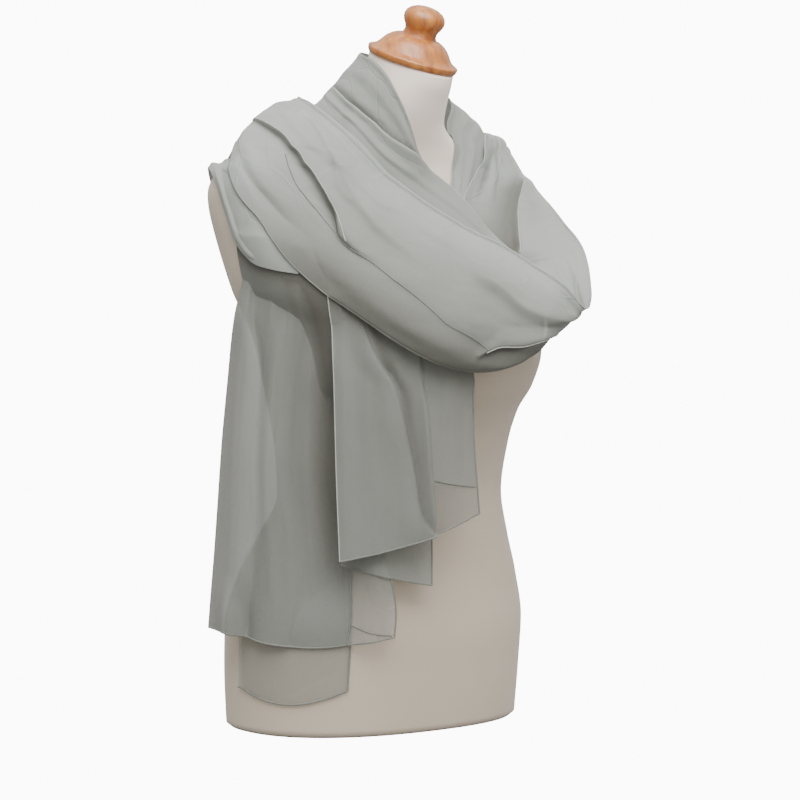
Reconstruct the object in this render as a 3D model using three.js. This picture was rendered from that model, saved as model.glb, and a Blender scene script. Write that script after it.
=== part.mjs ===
// Evening stole wound on a limbless dress form with a turned wooden neck cap.
// Millimetres, +Z up, origin at the centre of the form's flat base, form facing -Y.
import * as THREE from 'three';

const wall = 1.4;
const formGap = 0.75;
const layerGap = 1.3;
const capGap = 0.3;

const jersey = { color: 0xc4b6a4, roughness: 0.85, metalness: 0 };
const varnishedWood = { color: 0xc98f5a, roughness: 0.45, metalness: 0 };
const chiffon = { color: 0xa5a6a1, roughness: 0.75, metalness: 0 };

// The cloth is set out across, up and out as seen from one standing point,
// which is turned round from the front of the form by this angle.
const standTurn = 38 * Math.PI / 180;
const standDistance = 2600;
const standAcross = 31;
const standHeight = 400;

// Form sections from the base up: half width, depth to the front and to the back, fullness.
const formSections = [
  { up: 0, half: 170, front: 119, back: 117, full: 2.3 },
  { up: 60, half: 173, front: 125, back: 119, full: 2.3 },
  { up: 110, half: 174, front: 129, back: 117, full: 2.3 },
  { up: 160, half: 163, front: 127, back: 104, full: 2.3 },
  { up: 205, half: 145, front: 126, back: 81, full: 2.3 },
  { up: 251, half: 131, front: 125, back: 58, full: 2.3 },
  { up: 306, half: 135, front: 136, back: 62, full: 2.3 },
  { up: 340, half: 140, front: 150, back: 70, full: 2.35 },
  { up: 368, half: 144, front: 172, back: 77, full: 2.5 },
  { up: 400, half: 148, front: 183, back: 84, full: 2.6 },
  { up: 430, half: 156, front: 181, back: 90, full: 2.6 },
  { up: 468, half: 177, front: 164, back: 97, full: 2.45 },
  { up: 520, half: 193, front: 126, back: 100, full: 2.3 },
  { up: 548, half: 200, front: 102, back: 98, full: 2.2 },
  { up: 572, half: 203, front: 86, back: 90, full: 2.2 },
  { up: 592, half: 198, front: 76, back: 74, full: 2.1 },
  { up: 606, half: 174, front: 73, back: 60, full: 2.0 },
  { up: 620, half: 130, front: 75, back: 47, full: 2.0 },
  { up: 636, half: 82, front: 82, back: 32, full: 2.0 },
  { up: 650, half: 58, front: 90, back: 16, full: 2.0 },
  { up: 668, half: 49, front: 101, back: -4, full: 2.0 },
  { up: 690, half: 45.5, front: 109, back: -18, full: 2.0, tilt: 0.4 },
  { up: 713, half: 45, front: 115, back: -25, full: 2.0, tilt: 1 },
];
const formSteps = 32;

// The neck top and its cap lean to the front, turned a little to the wearer's left.
const lean = { angle: 22 * Math.PI / 180, turn: 12 * Math.PI / 180 };
const capSteps = 28;
// Rim, bell, stem and knob of the turned cap.
const capProfile = [
  { radius: 0, up: 0 },
  { radius: 46, up: 0 },
  { radius: 49, up: 2 },
  { radius: 50, up: 6.5 },
  { radius: 47, up: 8.8 },
  { radius: 42.5, up: 11 },
  { radius: 39.5, up: 14.5 },
  { radius: 37, up: 18 },
  { radius: 34, up: 21.8 },
  { radius: 29.5, up: 25.8 },
  { radius: 24, up: 28.4 },
  { radius: 18.8, up: 29.4 },
  { radius: 17.4, up: 33 },
  { radius: 18.4, up: 38 },
  { radius: 22, up: 44 },
  { radius: 22.6, up: 50 },
  { radius: 19, up: 56 },
  { radius: 11, up: 60.5 },
  { radius: 0, up: 62 },
];

// The outer ring of cloth: each row goes from the inner edge over the top fold to the lower edge.
// Share is the part of the row that lies inside the top fold.
const ringSeenRows = [
  { in: [-74, 668, 60], top: [-77, 681, 62], low: [-154, 624, 108], belly: 14, share: 0.16 },
  { in: [-60, 656, 82], top: [-57, 669, 86], low: [-155, 606, 127], belly: 16, share: 0.16 },
  { in: [-40, 632, 98], top: [-33, 649, 104], low: [-145, 578, 138], belly: 18, share: 0.16 },
  { in: [-18, 604, 98], top: [-9, 628, 112], low: [-120, 546, 146], belly: 18, share: 0.16 },
  { in: [5, 576, 98], top: [14, 601, 113], low: [-87, 503, 160], belly: 20, share: 0.16 },
  { in: [26, 560, 98], top: [35, 584, 112], low: [-56, 471, 182], belly: 22, share: 0.16 },
  { in: [50, 541, 96], top: [59, 565, 110], low: [-30, 452, 196], belly: 26, share: 0.16 },
  { in: [77, 525, 94], top: [86, 548, 109], low: [12, 424, 204], belly: 28, share: 0.16 },
  { in: [106, 509, 94], top: [114, 532, 110], low: [55, 398, 202], belly: 28, share: 0.16 },
  { in: [138, 495, 96], top: [145, 517, 113], low: [88, 386, 192], belly: 26, share: 0.17 },
  { in: [170, 475, 100], top: [177, 497, 118], low: [113, 382, 178], belly: 24, share: 0.2 },
  { in: [198, 456, 103], top: [207, 477, 121], low: [144, 385, 162], belly: 20, share: 0.24 },
  { in: [212, 445, 98], top: [225, 461, 116], low: [168, 396, 146], belly: 12, share: 0.28 },
  { in: [214, 440, 92], top: [235, 451, 108], low: [184, 411, 126], belly: 6, share: 0.33 },
  { in: [206, 446, 82], top: [240, 456, 94], low: [193, 424, 86], belly: 5, share: 0.38 },
  { in: [180, 464, 70], top: [240, 474, 77], low: [191, 441, 30], belly: 7, share: 0.42 },
  { in: [156, 484, 62], top: [236, 499, 53], low: [187, 462, -16], belly: 10, share: 0.44 },
  { in: [140, 504, 58], top: [227, 521, 26], low: [182, 482, -48], belly: 12, share: 0.45 },
  { in: [124, 526, 54], top: [209, 543, -10], low: [175, 506, -76], belly: 12, share: 0.45 },
  { in: [110, 548, 50], top: [192, 564, -38], low: [169, 527, -94], belly: 10, share: 0.45 },
  { in: [101, 569, 40], top: [175, 582, -58], low: [163, 545, -108], belly: 8, share: 0.44 },
  { in: [105, 588, 12], top: [162, 602, -72], low: [160, 563, -114], belly: 7, share: 0.42 },
  { in: [112, 610, -24], top: [149, 623, -80], low: [157, 580, -116], belly: 6, share: 0.38 },
  { in: [123, 641, -68], top: [136, 639, -86], low: [148, 596, -126], belly: 5, share: 0.28 },
];
const crestRow = 13;
const farShoulderRow = 23;
// Behind, the same ring goes on in the frame's own x, y and z.
const ringBackRows = [
  { in: [116, 22, 644], top: [124, 32, 652], low: [172, 52, 592], belly: 6, share: 0.16 },
  { in: [82, 42, 638], top: [86, 54, 650], low: [122, 88, 552], belly: 8, share: 0.14 },
  { in: [42, 46, 640], top: [42, 60, 652], low: [58, 104, 518], belly: 8, share: 0.14 },
  { in: [0, 48, 642], top: [0, 62, 654], low: [0, 108, 504], belly: 8, share: 0.14 },
  { in: [-42, 46, 648], top: [-42, 60, 660], low: [-62, 106, 516], belly: 8, share: 0.14 },
  { in: [-76, 38, 654], top: [-78, 50, 666], low: [-122, 92, 550], belly: 6, share: 0.14 },
  { in: [-90, 18, 660], top: [-94, 26, 672], low: [-158, 58, 588], belly: 2, share: 0.15 },
];

const stripRows = [
  { top: [-38, 692, 42], low: [-66, 668, 58], belly: 3 },
  { top: [-24, 677, 66], low: [-44, 648, 84], belly: 3 },
  { top: [-12, 666, 81], low: [-22, 628, 98], belly: 3 },
  { top: [20, 636, 87], low: [9, 592, 97], belly: 3 },
  { top: [56, 607, 66], low: [46, 561, 93], belly: 4 },
  { top: [86, 585, 56], low: [80, 537, 92], belly: 4 },
  { top: [111, 558, 56], low: [108, 519, 88], belly: 4 },
  { top: [129, 535, 60], low: [130, 502, 86], belly: 3 },
  { top: [152, 514, 66], low: [150, 490, 86], belly: 3 },
];
const bandBackRows = [
  { top: [-146, 54, 600], low: [-176, 53, 580], belly: 1 },
  { top: [-156, 26, 606], low: [-196, 28, 593], belly: 2 },
];
const bandSeenRows = [
  { top: [-138, 614, 104], low: [-179, 604, 120], belly: 2 },
  { top: [-132, 592, 122], low: [-172, 589, 130], belly: 5 },
  { top: [-121, 564, 134], low: [-162, 556, 134], belly: 5 },
  { top: [-111, 552, 140], low: [-151, 524, 138], belly: 6 },
  { top: [-98, 538, 146], low: [-131, 503, 146], belly: 7 },
  { top: [-84, 524, 152], low: [-102, 494, 156], belly: 6 },
  { top: [-68, 508, 160], low: [-76, 487, 168], belly: 4 },
];

// Behind the neck the collar is set out in x, y and z too.
const collarNearRows = [
  { top: [-0.3, -14, 724], low: [-0.3, 46, 652], belly: 2 },
  { top: [-31, -24, 726], low: [-66, 34, 650], belly: 2 },
];
const collarSeenRows = [
  { top: [-9, 728, 50], low: [-42, 672, 56], belly: 2 },
  { top: [2, 723, 82], low: [-24, 655, 78], belly: 2 },
  { top: [14, 711, 94], low: [-3, 632, 86], belly: 2 },
  { top: [24, 694, 97], low: [18, 608, 84], belly: 2 },
  { top: [35, 671, 96], low: [40, 584, 78], belly: 2 },
  { top: [43, 646, 88], low: [58, 562, 72], belly: 2 },
  { top: [51, 621, 74], low: [74, 543, 68], belly: 2 },
  { top: [66, 594, 52], low: [90, 533, 60], belly: 2 },
  { top: [84, 581, 38], low: [103, 534, 52], belly: 2 },
  { top: [87, 602, 22], low: [111, 560, 30], belly: 2 },
  { top: [84, 628, 10], low: [119, 588, 4], belly: 4 },
  { top: [82, 652, -2], low: [125, 614, -30], belly: 6 },
  { top: [84, 681, -20], low: [127, 631, -62], belly: 6 },
];
const collarFarRows = [
  { top: [30, -22, 718], low: [64, 38, 650], belly: 2 },
  { top: [0.3, -14, 724], low: [0.3, 46, 652], belly: 2 },
];
// Tails run from their hidden top down to the hem, each row from the left to the right edge.
const tailLongRows = [
  { left: [-122, 536, 116], right: [-48, 500, 158], sag: 0, belly: 4 },
  { left: [-136, 500, 122], right: [-32, 462, 172], sag: 0, belly: 5 },
  { left: [-147, 460, 126], right: [-22, 412, 178], sag: 0, belly: 6 },
  { left: [-153, 427, 126], right: [-18, 372, 176], sag: 0, belly: 8 },
  { left: [-158, 372, 124], right: [-16, 328, 172], sag: 0, belly: 10 },
  { left: [-165, 300, 122], right: [-12, 252, 168], sag: 0, belly: 12 },
  { left: [-171, 216, 120], right: [14, 178, 166], sag: 2, belly: 12 },
  { left: [-176, 150, 120], right: [26, 126, 164], sag: 8, belly: 12 },
  { left: [-180, 100, 120], right: [25, 88, 162], sag: 14, belly: 12 },
];
const tailUnderRows = [
  { left: [-146, 150, 108], right: [-22, 174, 150], sag: 0, belly: 8 },
  { left: [-147, 84, 108], right: [-23, 108, 150], sag: 2, belly: 8 },
  { left: [-148, 34, 108], right: [-27, 30, 150], sag: 14, belly: 8 },
];
const tailShortRows = [
  { left: [-58, 500, 168], right: [96, 420, 172], sag: 0, belly: 16 },
  { left: [-45, 460, 178], right: [111, 381, 166], sag: 0, belly: 16 },
  { left: [-43, 405, 186], right: [111, 350, 158], sag: 0, belly: 16 },
  { left: [-41, 350, 186], right: [112, 315, 152], sag: 0, belly: 18 },
  { left: [-39, 270, 184], right: [115, 268, 146], sag: 0, belly: 18 },
  { left: [-35, 172, 182], right: [119, 225, 142], sag: 6, belly: 18 },
];
const tailTuckRows = [
  { left: [-30, 250, 160], right: [60, 262, 150], sag: 0, belly: 8 },
  { left: [-32, 200, 160], right: [66, 205, 150], sag: 0, belly: 8 },
  { left: [-34, 168, 160], right: [66, 146, 148], sag: 2, belly: 8 },
];

// Folds of the ring: places from the top fold (0) to the lower edge (1), or to the
// inner edge (-1), at the near shoulder, chest, crest, far shoulder and back.
const ringFolds = [
  { near: -0.5, chest: -0.5, crest: -0.55, far: -0.5, back: -0.5, height: 3, above: 0.2, below: 0.2 },
  { near: 0.06, chest: 0.1, crest: 0.16, far: 0.2, back: 0.08, height: 3, above: 0.06, below: 0.08 },
  { near: 0.26, chest: 0.28, crest: 0.36, far: 0.42, back: 0.24, height: -4, above: 0.07, below: 0.07 },
  { near: 0.4, chest: 0.42, crest: 0.52, far: 0.6, back: 0.4, height: 5, above: 0.09, below: 0.06 },
  { near: 0.6, chest: 0.54, crest: 0.66, far: 0.74, back: 0.58, height: 7, above: 0.13, below: 0.03 },
  { near: 0.67, chest: 0.61, crest: 0.74, far: 0.8, back: 0.66, height: -6, above: 0.035, below: 0.08 },
  { near: 0.82, chest: 0.78, crest: 0.84, far: 0.86, back: 0.8, height: 5, above: 0.07, below: 0.06 },
  { near: 0.96, chest: 0.94, crest: 0.95, far: 0.97, back: 0.96, height: 3, above: 0.06, below: 0.04 },
];
const ringFoldRows = { near: 0, chest: 7, crest: 13, far: 22, back: 27, end: 31 };

// Folds of the other stretches: place at the start, middle and end, height, and spread.
const stripFolds = [
  { start: 0.3, mid: 0.4, end: 0.4, height: 2.5, above: 0.15, below: 0.1 },
];
const bandFolds = [
  { start: 0.5, mid: 0.5, end: 0.5, height: 3.5, above: 0.12, below: 0.14 },
  { start: 0.85, mid: 0.85, end: 0.85, height: 3, above: 0.1, below: 0.1 },
];
const collarFolds = [
  { start: 0.3, mid: 0.3, end: 0.3, height: 2, above: 0.08, below: 0.08 },
  { start: 0.62, mid: 0.6, end: 0.62, height: 2.5, above: 0.08, below: 0.08 },
];
const tailLongFolds = [
  { start: 0.12, mid: 0.14, end: 0.1, height: -4, above: 0.05, below: 0.05 },
  { start: 0.26, mid: 0.3, end: 0.3, height: 6, above: 0.09, below: 0.05 },
  { start: 0.38, mid: 0.42, end: 0.4, height: -5, above: 0.05, below: 0.05 },
  { start: 0.5, mid: 0.54, end: 0.48, height: 6, above: 0.08, below: 0.05 },
  { start: 0.68, mid: 0.74, end: 0.62, height: -8, above: 0.09, below: 0.06 },
  { start: 0.84, mid: 0.9, end: 0.8, height: 4, above: 0.07, below: 0.06 },
];
const tailUnderFolds = [
  { start: 0.3, mid: 0.3, end: 0.32, height: 3, above: 0.1, below: 0.08 },
  { start: 0.7, mid: 0.7, end: 0.72, height: 3, above: 0.1, below: 0.08 },
];
const tailShortFolds = [
  { start: 0.14, mid: 0.2, end: 0.28, height: 4, above: 0.07, below: 0.05 },
  { start: 0.36, mid: 0.46, end: 0.56, height: 7, above: 0.1, below: 0.04 },
  { start: 0.46, mid: 0.55, end: 0.64, height: -4, above: 0.04, below: 0.05 },
  { start: 0.62, mid: 0.68, end: 0.72, height: 5, above: 0.06, below: 0.04 },
  { start: 0.85, mid: 0.86, end: 0.88, height: 2, above: 0.06, below: 0.06 },
];
const tailTuckFolds = [
  { start: 0.5, mid: 0.5, end: 0.5, height: 2.5, above: 0.15, below: 0.1 },
];

function mix(a, b, t) {
  return a + (b - a) * t;
}

function formSection(up) {
  const last = formSections.length - 1;
  const z = Math.min(Math.max(up, formSections[0].up), formSections[last].up);
  let i = 0;
  while (i < last - 1 && formSections[i + 1].up < z) {
    i += 1;
  }
  const a = formSections[i];
  const b = formSections[i + 1];
  const t = (z - a.up) / (b.up - a.up);
  return {
    half: mix(a.half, b.half, t),
    front: mix(a.front, b.front, t),
    back: mix(a.back, b.back, t),
    full: mix(a.full, b.full, t),
  };
}

const leastSlope = 0.002;
const settlePasses = 5;

function formShare(p) {
  const s = formSection(p.z);
  const middle = (s.back - s.front) / 2;
  const depth = (s.back + s.front) / 2;
  const across = Math.abs(p.x / s.half) ** s.full;
  const along = Math.abs((p.y - middle) / depth) ** s.full;
  return (across + along) ** (1 / s.full);
}

// Distance from the form's skin and the way out of it, near enough for laying cloth.
function formOut(p) {
  const step = 1;
  const way = new THREE.Vector3();
  for (const axis of ['x', 'y', 'z']) {
    const ahead = p.clone();
    const behind = p.clone();
    ahead[axis] += step;
    behind[axis] -= step;
    way[axis] = (formShare(ahead) - formShare(behind)) / (2 * step);
  }
  const slope = Math.max(way.length(), leastSlope);
  return { away: (formShare(p) - 1) / slope, way: way.normalize() };
}

function settle(p, gap) {
  for (let i = 0; i < settlePasses; i += 1) {
    const { away, way } = formOut(p);
    if (away >= gap) {
      break;
    }
    p.addScaledVector(way, gap - away);
  }
  return p;
}

// Moves a size seen from the standing point along its line of sight to its own depth.
function seen([across, up, out]) {
  const nearness = 1 - out / standDistance;
  const u = standAcross + (across - standAcross) * nearness;
  const z = standHeight + (up - standHeight) * nearness;
  const x = u * Math.cos(standTurn) - out * Math.sin(standTurn);
  const y = -u * Math.sin(standTurn) - out * Math.cos(standTurn);
  return new THREE.Vector3(x, y, z);
}

function placed([x, y, z]) {
  return new THREE.Vector3(x, y, z);
}

// Past its ends a stretch goes on straight, at about this length for the whole of it.
const straightLength = 400;

function alongRows(points) {
  const curve = new THREE.CatmullRomCurve3(points, false, 'centripetal');
  return (s) => {
    const end = Math.min(Math.max(s, 0), 1);
    return curve.getPoint(end).addScaledVector(curve.getTangent(end), (s - end) * straightLength);
  };
}

function foldHeight(folds, s, t) {
  let height = 0;
  for (const fold of folds) {
    const early = mix(fold.start, fold.mid, Math.min(s * 2, 1));
    const place = s < 0.5 ? early : mix(fold.mid, fold.end, s * 2 - 1);
    const spread = t < place ? fold.above : fold.below;
    height += fold.height * Math.exp(-(((t - place) / spread) ** 2));
  }
  return height;
}

function gridNormals(grid) {
  const rows = grid.length;
  const columns = grid[0].length;
  return grid.map((row, i) => row.map((p, j) => {
    const ahead = grid[Math.min(i + 1, rows - 1)][j].clone();
    const down = grid[i][Math.min(j + 1, columns - 1)].clone();
    ahead.sub(grid[Math.max(i - 1, 0)][j]);
    down.sub(grid[i][Math.max(j - 1, 0)]);
    return ahead.cross(down).normalize();
  }));
}

function turnOutward(grid, normals) {
  let sum = 0;
  grid.forEach((row, i) => row.forEach((p, j) => {
    sum += normals[i][j].dot(formOut(p).way);
  }));
  if (sum < 0) {
    normals.forEach((row) => row.forEach((n) => n.negate()));
  }
  return sum < 0;
}

const laid = [];
const ray = new THREE.Raycaster();
const reach = 90;
const farReach = 135;
const joinedRows = 1;
const evenPasses = 3;

// Cloth is lifted away from the form, and never downwards.
function liftWay(p) {
  const { way } = formOut(p);
  way.z = Math.max(way.z, 0);
  return way.normalize();
}

// How far a point must move out to clear the pieces below it.
function liftAt(p, below, spare) {
  const way = liftWay(p);
  ray.set(p.clone().addScaledVector(way, reach), way.clone().negate());
  ray.far = farReach;
  const hits = ray.intersectObjects(below, false);
  if (hits.length === 0) {
    return 0;
  }
  const gap = hits[0].object.name === 'form_body' ? formGap : layerGap;
  return reach - hits[0].distance + gap + spare;
}

// Lifts a grid, measured at its points and half way between them, then evens the lift out.
function liftClear(grid, over, { joined = false, spare = 0 }) {
  const below = laid.filter((mesh) => over.includes(mesh.name));
  const rows = grid.length;
  const columns = grid[0].length;
  const halfway = (i, j) => {
    const a = grid[Math.floor(i / 2)][Math.floor(j / 2)];
    const b = grid[Math.ceil(i / 2)][Math.ceil(j / 2)];
    return a.clone().lerp(b, 0.5);
  };
  const fine = [];
  for (let i = 0; i < 2 * rows - 1; i += 1) {
    fine.push([]);
    for (let j = 0; j < 2 * columns - 1; j += 1) {
      fine[i].push(liftAt(halfway(i, j), below, spare));
    }
  }
  const around = (table, i, j) => {
    const near = [];
    for (let di = -1; di <= 1; di += 1) {
      for (let dj = -1; dj <= 1; dj += 1) {
        const row = table[i + di] || [];
        near.push(row[j + dj] === undefined ? table[i][j] : row[j + dj]);
      }
    }
    return near;
  };
  const needs = grid.map((row, i) => row.map((p, j) => (
    Math.max(0, ...around(fine, 2 * i, 2 * j))
  )));
  let lifts = needs;
  for (let pass = 0; pass < evenPasses; pass += 1) {
    lifts = lifts.map((row, i) => row.map((lift, j) => {
      const near = around(lifts, i, j);
      const mean = near.reduce((a, b) => a + b) / near.length;
      return Math.max(mean, needs[i][j]);
    }));
  }
  grid.forEach((row, i) => row.forEach((p, j) => {
    const fromEnd = Math.min(i, rows - 1 - i) - 1;
    const share = joined ? Math.min(Math.max(fromEnd, 0) / joinedRows, 1) : 1;
    p.addScaledVector(liftWay(p), lifts[i][j] * share);
  }));
}

function closeSheet(inner, outer, flipped) {
  const rows = inner.length;
  const columns = inner[0].length;
  const points = [];
  for (const side of [inner, outer]) {
    side.forEach((row) => row.forEach((p) => points.push(p.x, p.y, p.z)));
  }
  const at = (side, i, j) => side * rows * columns + i * columns + j;
  const faces = [];
  const quad = (a, b, c, d) => {
    const turned = flipped ? [a, c, b, a, d, c] : [a, b, c, a, c, d];
    faces.push(...turned);
  };
  for (let i = 0; i < rows - 1; i += 1) {
    for (let j = 0; j < columns - 1; j += 1) {
      quad(at(1, i, j), at(1, i + 1, j), at(1, i + 1, j + 1), at(1, i, j + 1));
      quad(at(0, i, j), at(0, i, j + 1), at(0, i + 1, j + 1), at(0, i + 1, j));
    }
  }
  for (let i = 0; i < rows - 1; i += 1) {
    const end = columns - 1;
    quad(at(0, i, 0), at(0, i + 1, 0), at(1, i + 1, 0), at(1, i, 0));
    quad(at(0, i + 1, end), at(0, i, end), at(1, i, end), at(1, i + 1, end));
  }
  for (let j = 0; j < columns - 1; j += 1) {
    const end = rows - 1;
    quad(at(0, 0, j + 1), at(0, 0, j), at(1, 0, j), at(1, 0, j + 1));
    quad(at(0, end, j), at(0, end, j + 1), at(1, end, j + 1), at(1, end, j));
  }
  const geometry = new THREE.BufferGeometry();
  geometry.setAttribute('position', new THREE.Float32BufferAttribute(points, 3));
  geometry.setIndex(faces);
  geometry.computeVertexNormals();
  return geometry;
}

function makeMesh(name, geometry, look) {
  const mesh = new THREE.Mesh(geometry, new THREE.MeshStandardMaterial(look));
  mesh.material.side = THREE.DoubleSide;
  mesh.name = name;
  return mesh;
}

const plainMargin = 0.004;

// A stretch of cloth: a grid laid by its section, raised in folds, kept off what it lies on.
// A row beyond each end steers the walls there, so that neighbours meet squarely.
function layCloth(name, section, heightAt, size, over) {
  const margin = size.margin || plainMargin;
  const steps = [size.from - margin];
  for (let i = 0; i <= size.along; i += 1) {
    steps.push(mix(size.from, size.to, i / size.along));
  }
  steps.push(size.to + margin);
  const base = steps.map((s) => {
    const row = [];
    for (let j = 0; j <= size.across; j += 1) {
      row.push(section(s, j / size.across));
    }
    return row;
  });
  const ways = gridNormals(base);
  const flipped = turnOutward(base, ways);
  const inner = base.map((row, i) => row.map((p, j) => {
    const height = heightAt(steps[i], j / size.across);
    return settle(p.clone().addScaledVector(ways[i][j], height), formGap);
  }));
  liftClear(inner, ['form_body', ...over], size);
  const normals = gridNormals(inner);
  if (flipped) {
    normals.forEach((row) => row.forEach((n) => n.negate()));
  }
  const outer = inner.map((row, i) => row.map((p, j) => (
    p.clone().addScaledVector(normals[i][j], wall)
  )));
  const sheet = closeSheet(inner.slice(1, -1), outer.slice(1, -1), flipped);
  const mesh = makeMesh(name, sheet, chiffon);
  mesh.updateMatrixWorld();
  laid.push(mesh);
  return mesh;
}

const ringRows = [
  ...ringSeenRows.map((row) => ({ ...row, place: seen })),
  ...ringBackRows.map((row) => ({ ...row, place: placed })),
];

function aroundRing(points) {
  const curve = new THREE.CatmullRomCurve3(points, true, 'centripetal');
  return (s) => curve.getPoint(((s % 1) + 1) % 1);
}

const ringIns = aroundRing(ringRows.map((row) => row.place(row.in)));
const ringTops = aroundRing(ringRows.map((row) => row.place(row.top)));
const ringLows = aroundRing(ringRows.map((row) => row.place(row.low)));
const ringShapes = aroundRing(ringRows.map((row) => placed([row.belly, row.share, 0])));

const innerRise = 1.5;
const bellyShape = 0.7;

// Section of the ring from the inner edge over the rounded top fold to the lower edge.
function ringSection(s, t) {
  const top = ringTops(s);
  const shape = ringShapes(s);
  if (t < shape.y) {
    const share = t / shape.y;
    const p = ringIns(s).lerp(top, share);
    return p.addScaledVector(formOut(p).way, innerRise * Math.sin(Math.PI * share) ** 2);
  }
  const share = (t - shape.y) / (1 - shape.y);
  const p = top.clone().lerp(ringLows(s), share);
  const rise = shape.x * Math.sin(Math.PI * share) ** bellyShape;
  return p.addScaledVector(formOut(p).way, rise);
}

function ringFoldPlace(fold, row) {
  const names = Object.keys(ringFoldRows);
  for (let k = 0; k < names.length - 1; k += 1) {
    const from = ringFoldRows[names[k]];
    const to = ringFoldRows[names[k + 1]];
    if (row <= to) {
      const next = names[k + 1] === 'end' ? fold.near : fold[names[k + 1]];
      const share = (row - from) / (to - from);
      return mix(fold[names[k]], next, share * share * (3 - 2 * share));
    }
  }
  return fold.near;
}

// The inner side has folds only where it is wide, and all are low over the near shoulder.
const wideShare = 0.2;
const wideGain = 4;
const flatRow = 30.2;
const flatSpread = 1;
const flatLoss = 0.7;

function ringHeight(s, t) {
  const share = ringShapes(s).y;
  const v = t < share ? (t - share) / share : (t - share) / (1 - share);
  const row = (((s % 1) + 1) % 1) * ringRows.length;
  let height = 0;
  for (const fold of ringFolds) {
    const place = ringFoldPlace(fold, row);
    const spread = v < place ? fold.above : fold.below;
    const strength = place < 0 ? Math.max(0, share - wideShare) * wideGain : 1;
    height += strength * fold.height * Math.exp(-(((v - place) / spread) ** 2));
  }
  return height * (1 - flatLoss * Math.exp(-(((row - flatRow) / flatSpread) ** 2)));
}

function heightOf(folds) {
  return (s, t) => foldHeight(folds, s, t);
}

function plainSection(tops, lows, bellies) {
  const upper = alongRows(tops);
  const lower = alongRows(lows);
  const full = alongRows(bellies.map((belly) => placed([belly, 0, 0])));
  return (s, t) => {
    const p = upper(s).lerp(lower(s), t);
    const out = formOut(p).way;
    return p.addScaledVector(out, full(s).x * Math.sin(Math.PI * t));
  };
}

function ribbonSection(rows) {
  const tops = rows.map((row) => row.place(row.top));
  const lows = rows.map((row) => row.place(row.low));
  return plainSection(tops, lows, rows.map((row) => row.belly));
}

function tailSection(rows) {
  const lefts = alongRows(rows.map((row) => seen(row.left)));
  const rights = alongRows(rows.map((row) => seen(row.right)));
  const shapes = alongRows(rows.map((row) => placed([row.belly, row.sag, 0])));
  return (s, t) => {
    const p = lefts(s).lerp(rights(s), t);
    const shape = shapes(s);
    const bow = Math.sin(Math.PI * t);
    p.x -= Math.sin(standTurn) * shape.x * bow;
    p.y -= Math.cos(standTurn) * shape.x * bow;
    p.z -= shape.y * bow;
    return p;
  };
}

function formBody() {
  const points = [];
  const faces = [];
  const rows = formSections.length;
  for (const s of formSections) {
    const middle = (s.back - s.front) / 2;
    const depth = (s.back + s.front) / 2;
    for (let j = 0; j < formSteps; j += 1) {
      const angle = 2 * Math.PI * j / formSteps;
      const c = Math.cos(angle);
      const d = Math.sin(angle);
      const across = Math.sign(c) * Math.abs(c) ** (2 / s.full);
      const along = Math.sign(d) * Math.abs(d) ** (2 / s.full);
      const behind = depth * along * Math.cos(lean.turn);
      const aside = s.half * across * Math.sin(lean.turn);
      const rise = (s.tilt || 0) * Math.tan(lean.angle) * (behind - aside);
      points.push(s.half * across, middle + depth * along, s.up + rise);
    }
  }
  for (let i = 0; i < rows - 1; i += 1) {
    for (let j = 0; j < formSteps; j += 1) {
      const k = (j + 1) % formSteps;
      const a = i * formSteps + j;
      const b = i * formSteps + k;
      const c = a + formSteps;
      const d = b + formSteps;
      faces.push(a, b, d, a, d, c);
    }
  }
  const last = (rows - 1) * formSteps;
  const low = points.length / 3;
  points.push(0, 0, formSections[0].up);
  const neck = formSections[rows - 1];
  points.push(0, (neck.back - neck.front) / 2, neck.up);
  for (let j = 0; j < formSteps; j += 1) {
    const k = (j + 1) % formSteps;
    faces.push(low, k, j, low + 1, last + j, last + k);
  }
  const geometry = new THREE.BufferGeometry();
  geometry.setAttribute('position', new THREE.Float32BufferAttribute(points, 3));
  geometry.setIndex(faces);
  geometry.computeVertexNormals();
  return makeMesh('form_body', geometry, jersey);
}

function neckCap() {
  const outline = capProfile.map((ring) => new THREE.Vector2(ring.radius, ring.up));
  const geometry = new THREE.LatheGeometry(outline, capSteps);
  geometry.rotateX(Math.PI / 2);
  geometry.translate(0, 0, capGap);
  geometry.rotateX(lean.angle);
  geometry.rotateZ(lean.turn);
  const neck = formSections[formSections.length - 1];
  geometry.translate(0, (neck.back - neck.front) / 2, neck.up);
  return makeMesh('neck_cap', geometry, varnishedWood);
}

const group = new THREE.Group();
group.name = 'evening_stole_on_dress_form';
const body = formBody();
group.add(body, neckCap());
body.updateMatrixWorld();
laid.push(body);

const collarRows = [
  ...collarNearRows.map((row) => ({ ...row, place: placed })),
  ...collarSeenRows.map((row) => ({ ...row, place: seen })),
  ...collarFarRows.map((row) => ({ ...row, place: placed })),
];
const bandRows = [
  ...bandBackRows.map((row) => ({ ...row, place: placed })),
  ...bandSeenRows.map((row) => ({ ...row, place: seen })),
];
const stripSeenRows = stripRows.map((row) => ({ ...row, place: seen }));

const seam = 0.0004;
const crestSeam = 0.0008;
const beyond = 0.0137;
const crest = crestRow / ringRows.length;
const farShoulder = farShoulderRow / ringRows.length;
const whole = { from: 0, to: 1 };
const frontSpan = { from: seam, to: crest - crestSeam, joined: true, margin: beyond };
const farSpan = {
  from: crest + crestSeam, to: farShoulder - seam, joined: true, margin: beyond,
};
const backSpan = { from: farShoulder + seam, to: 1 - seam, joined: true, margin: beyond };

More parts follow.
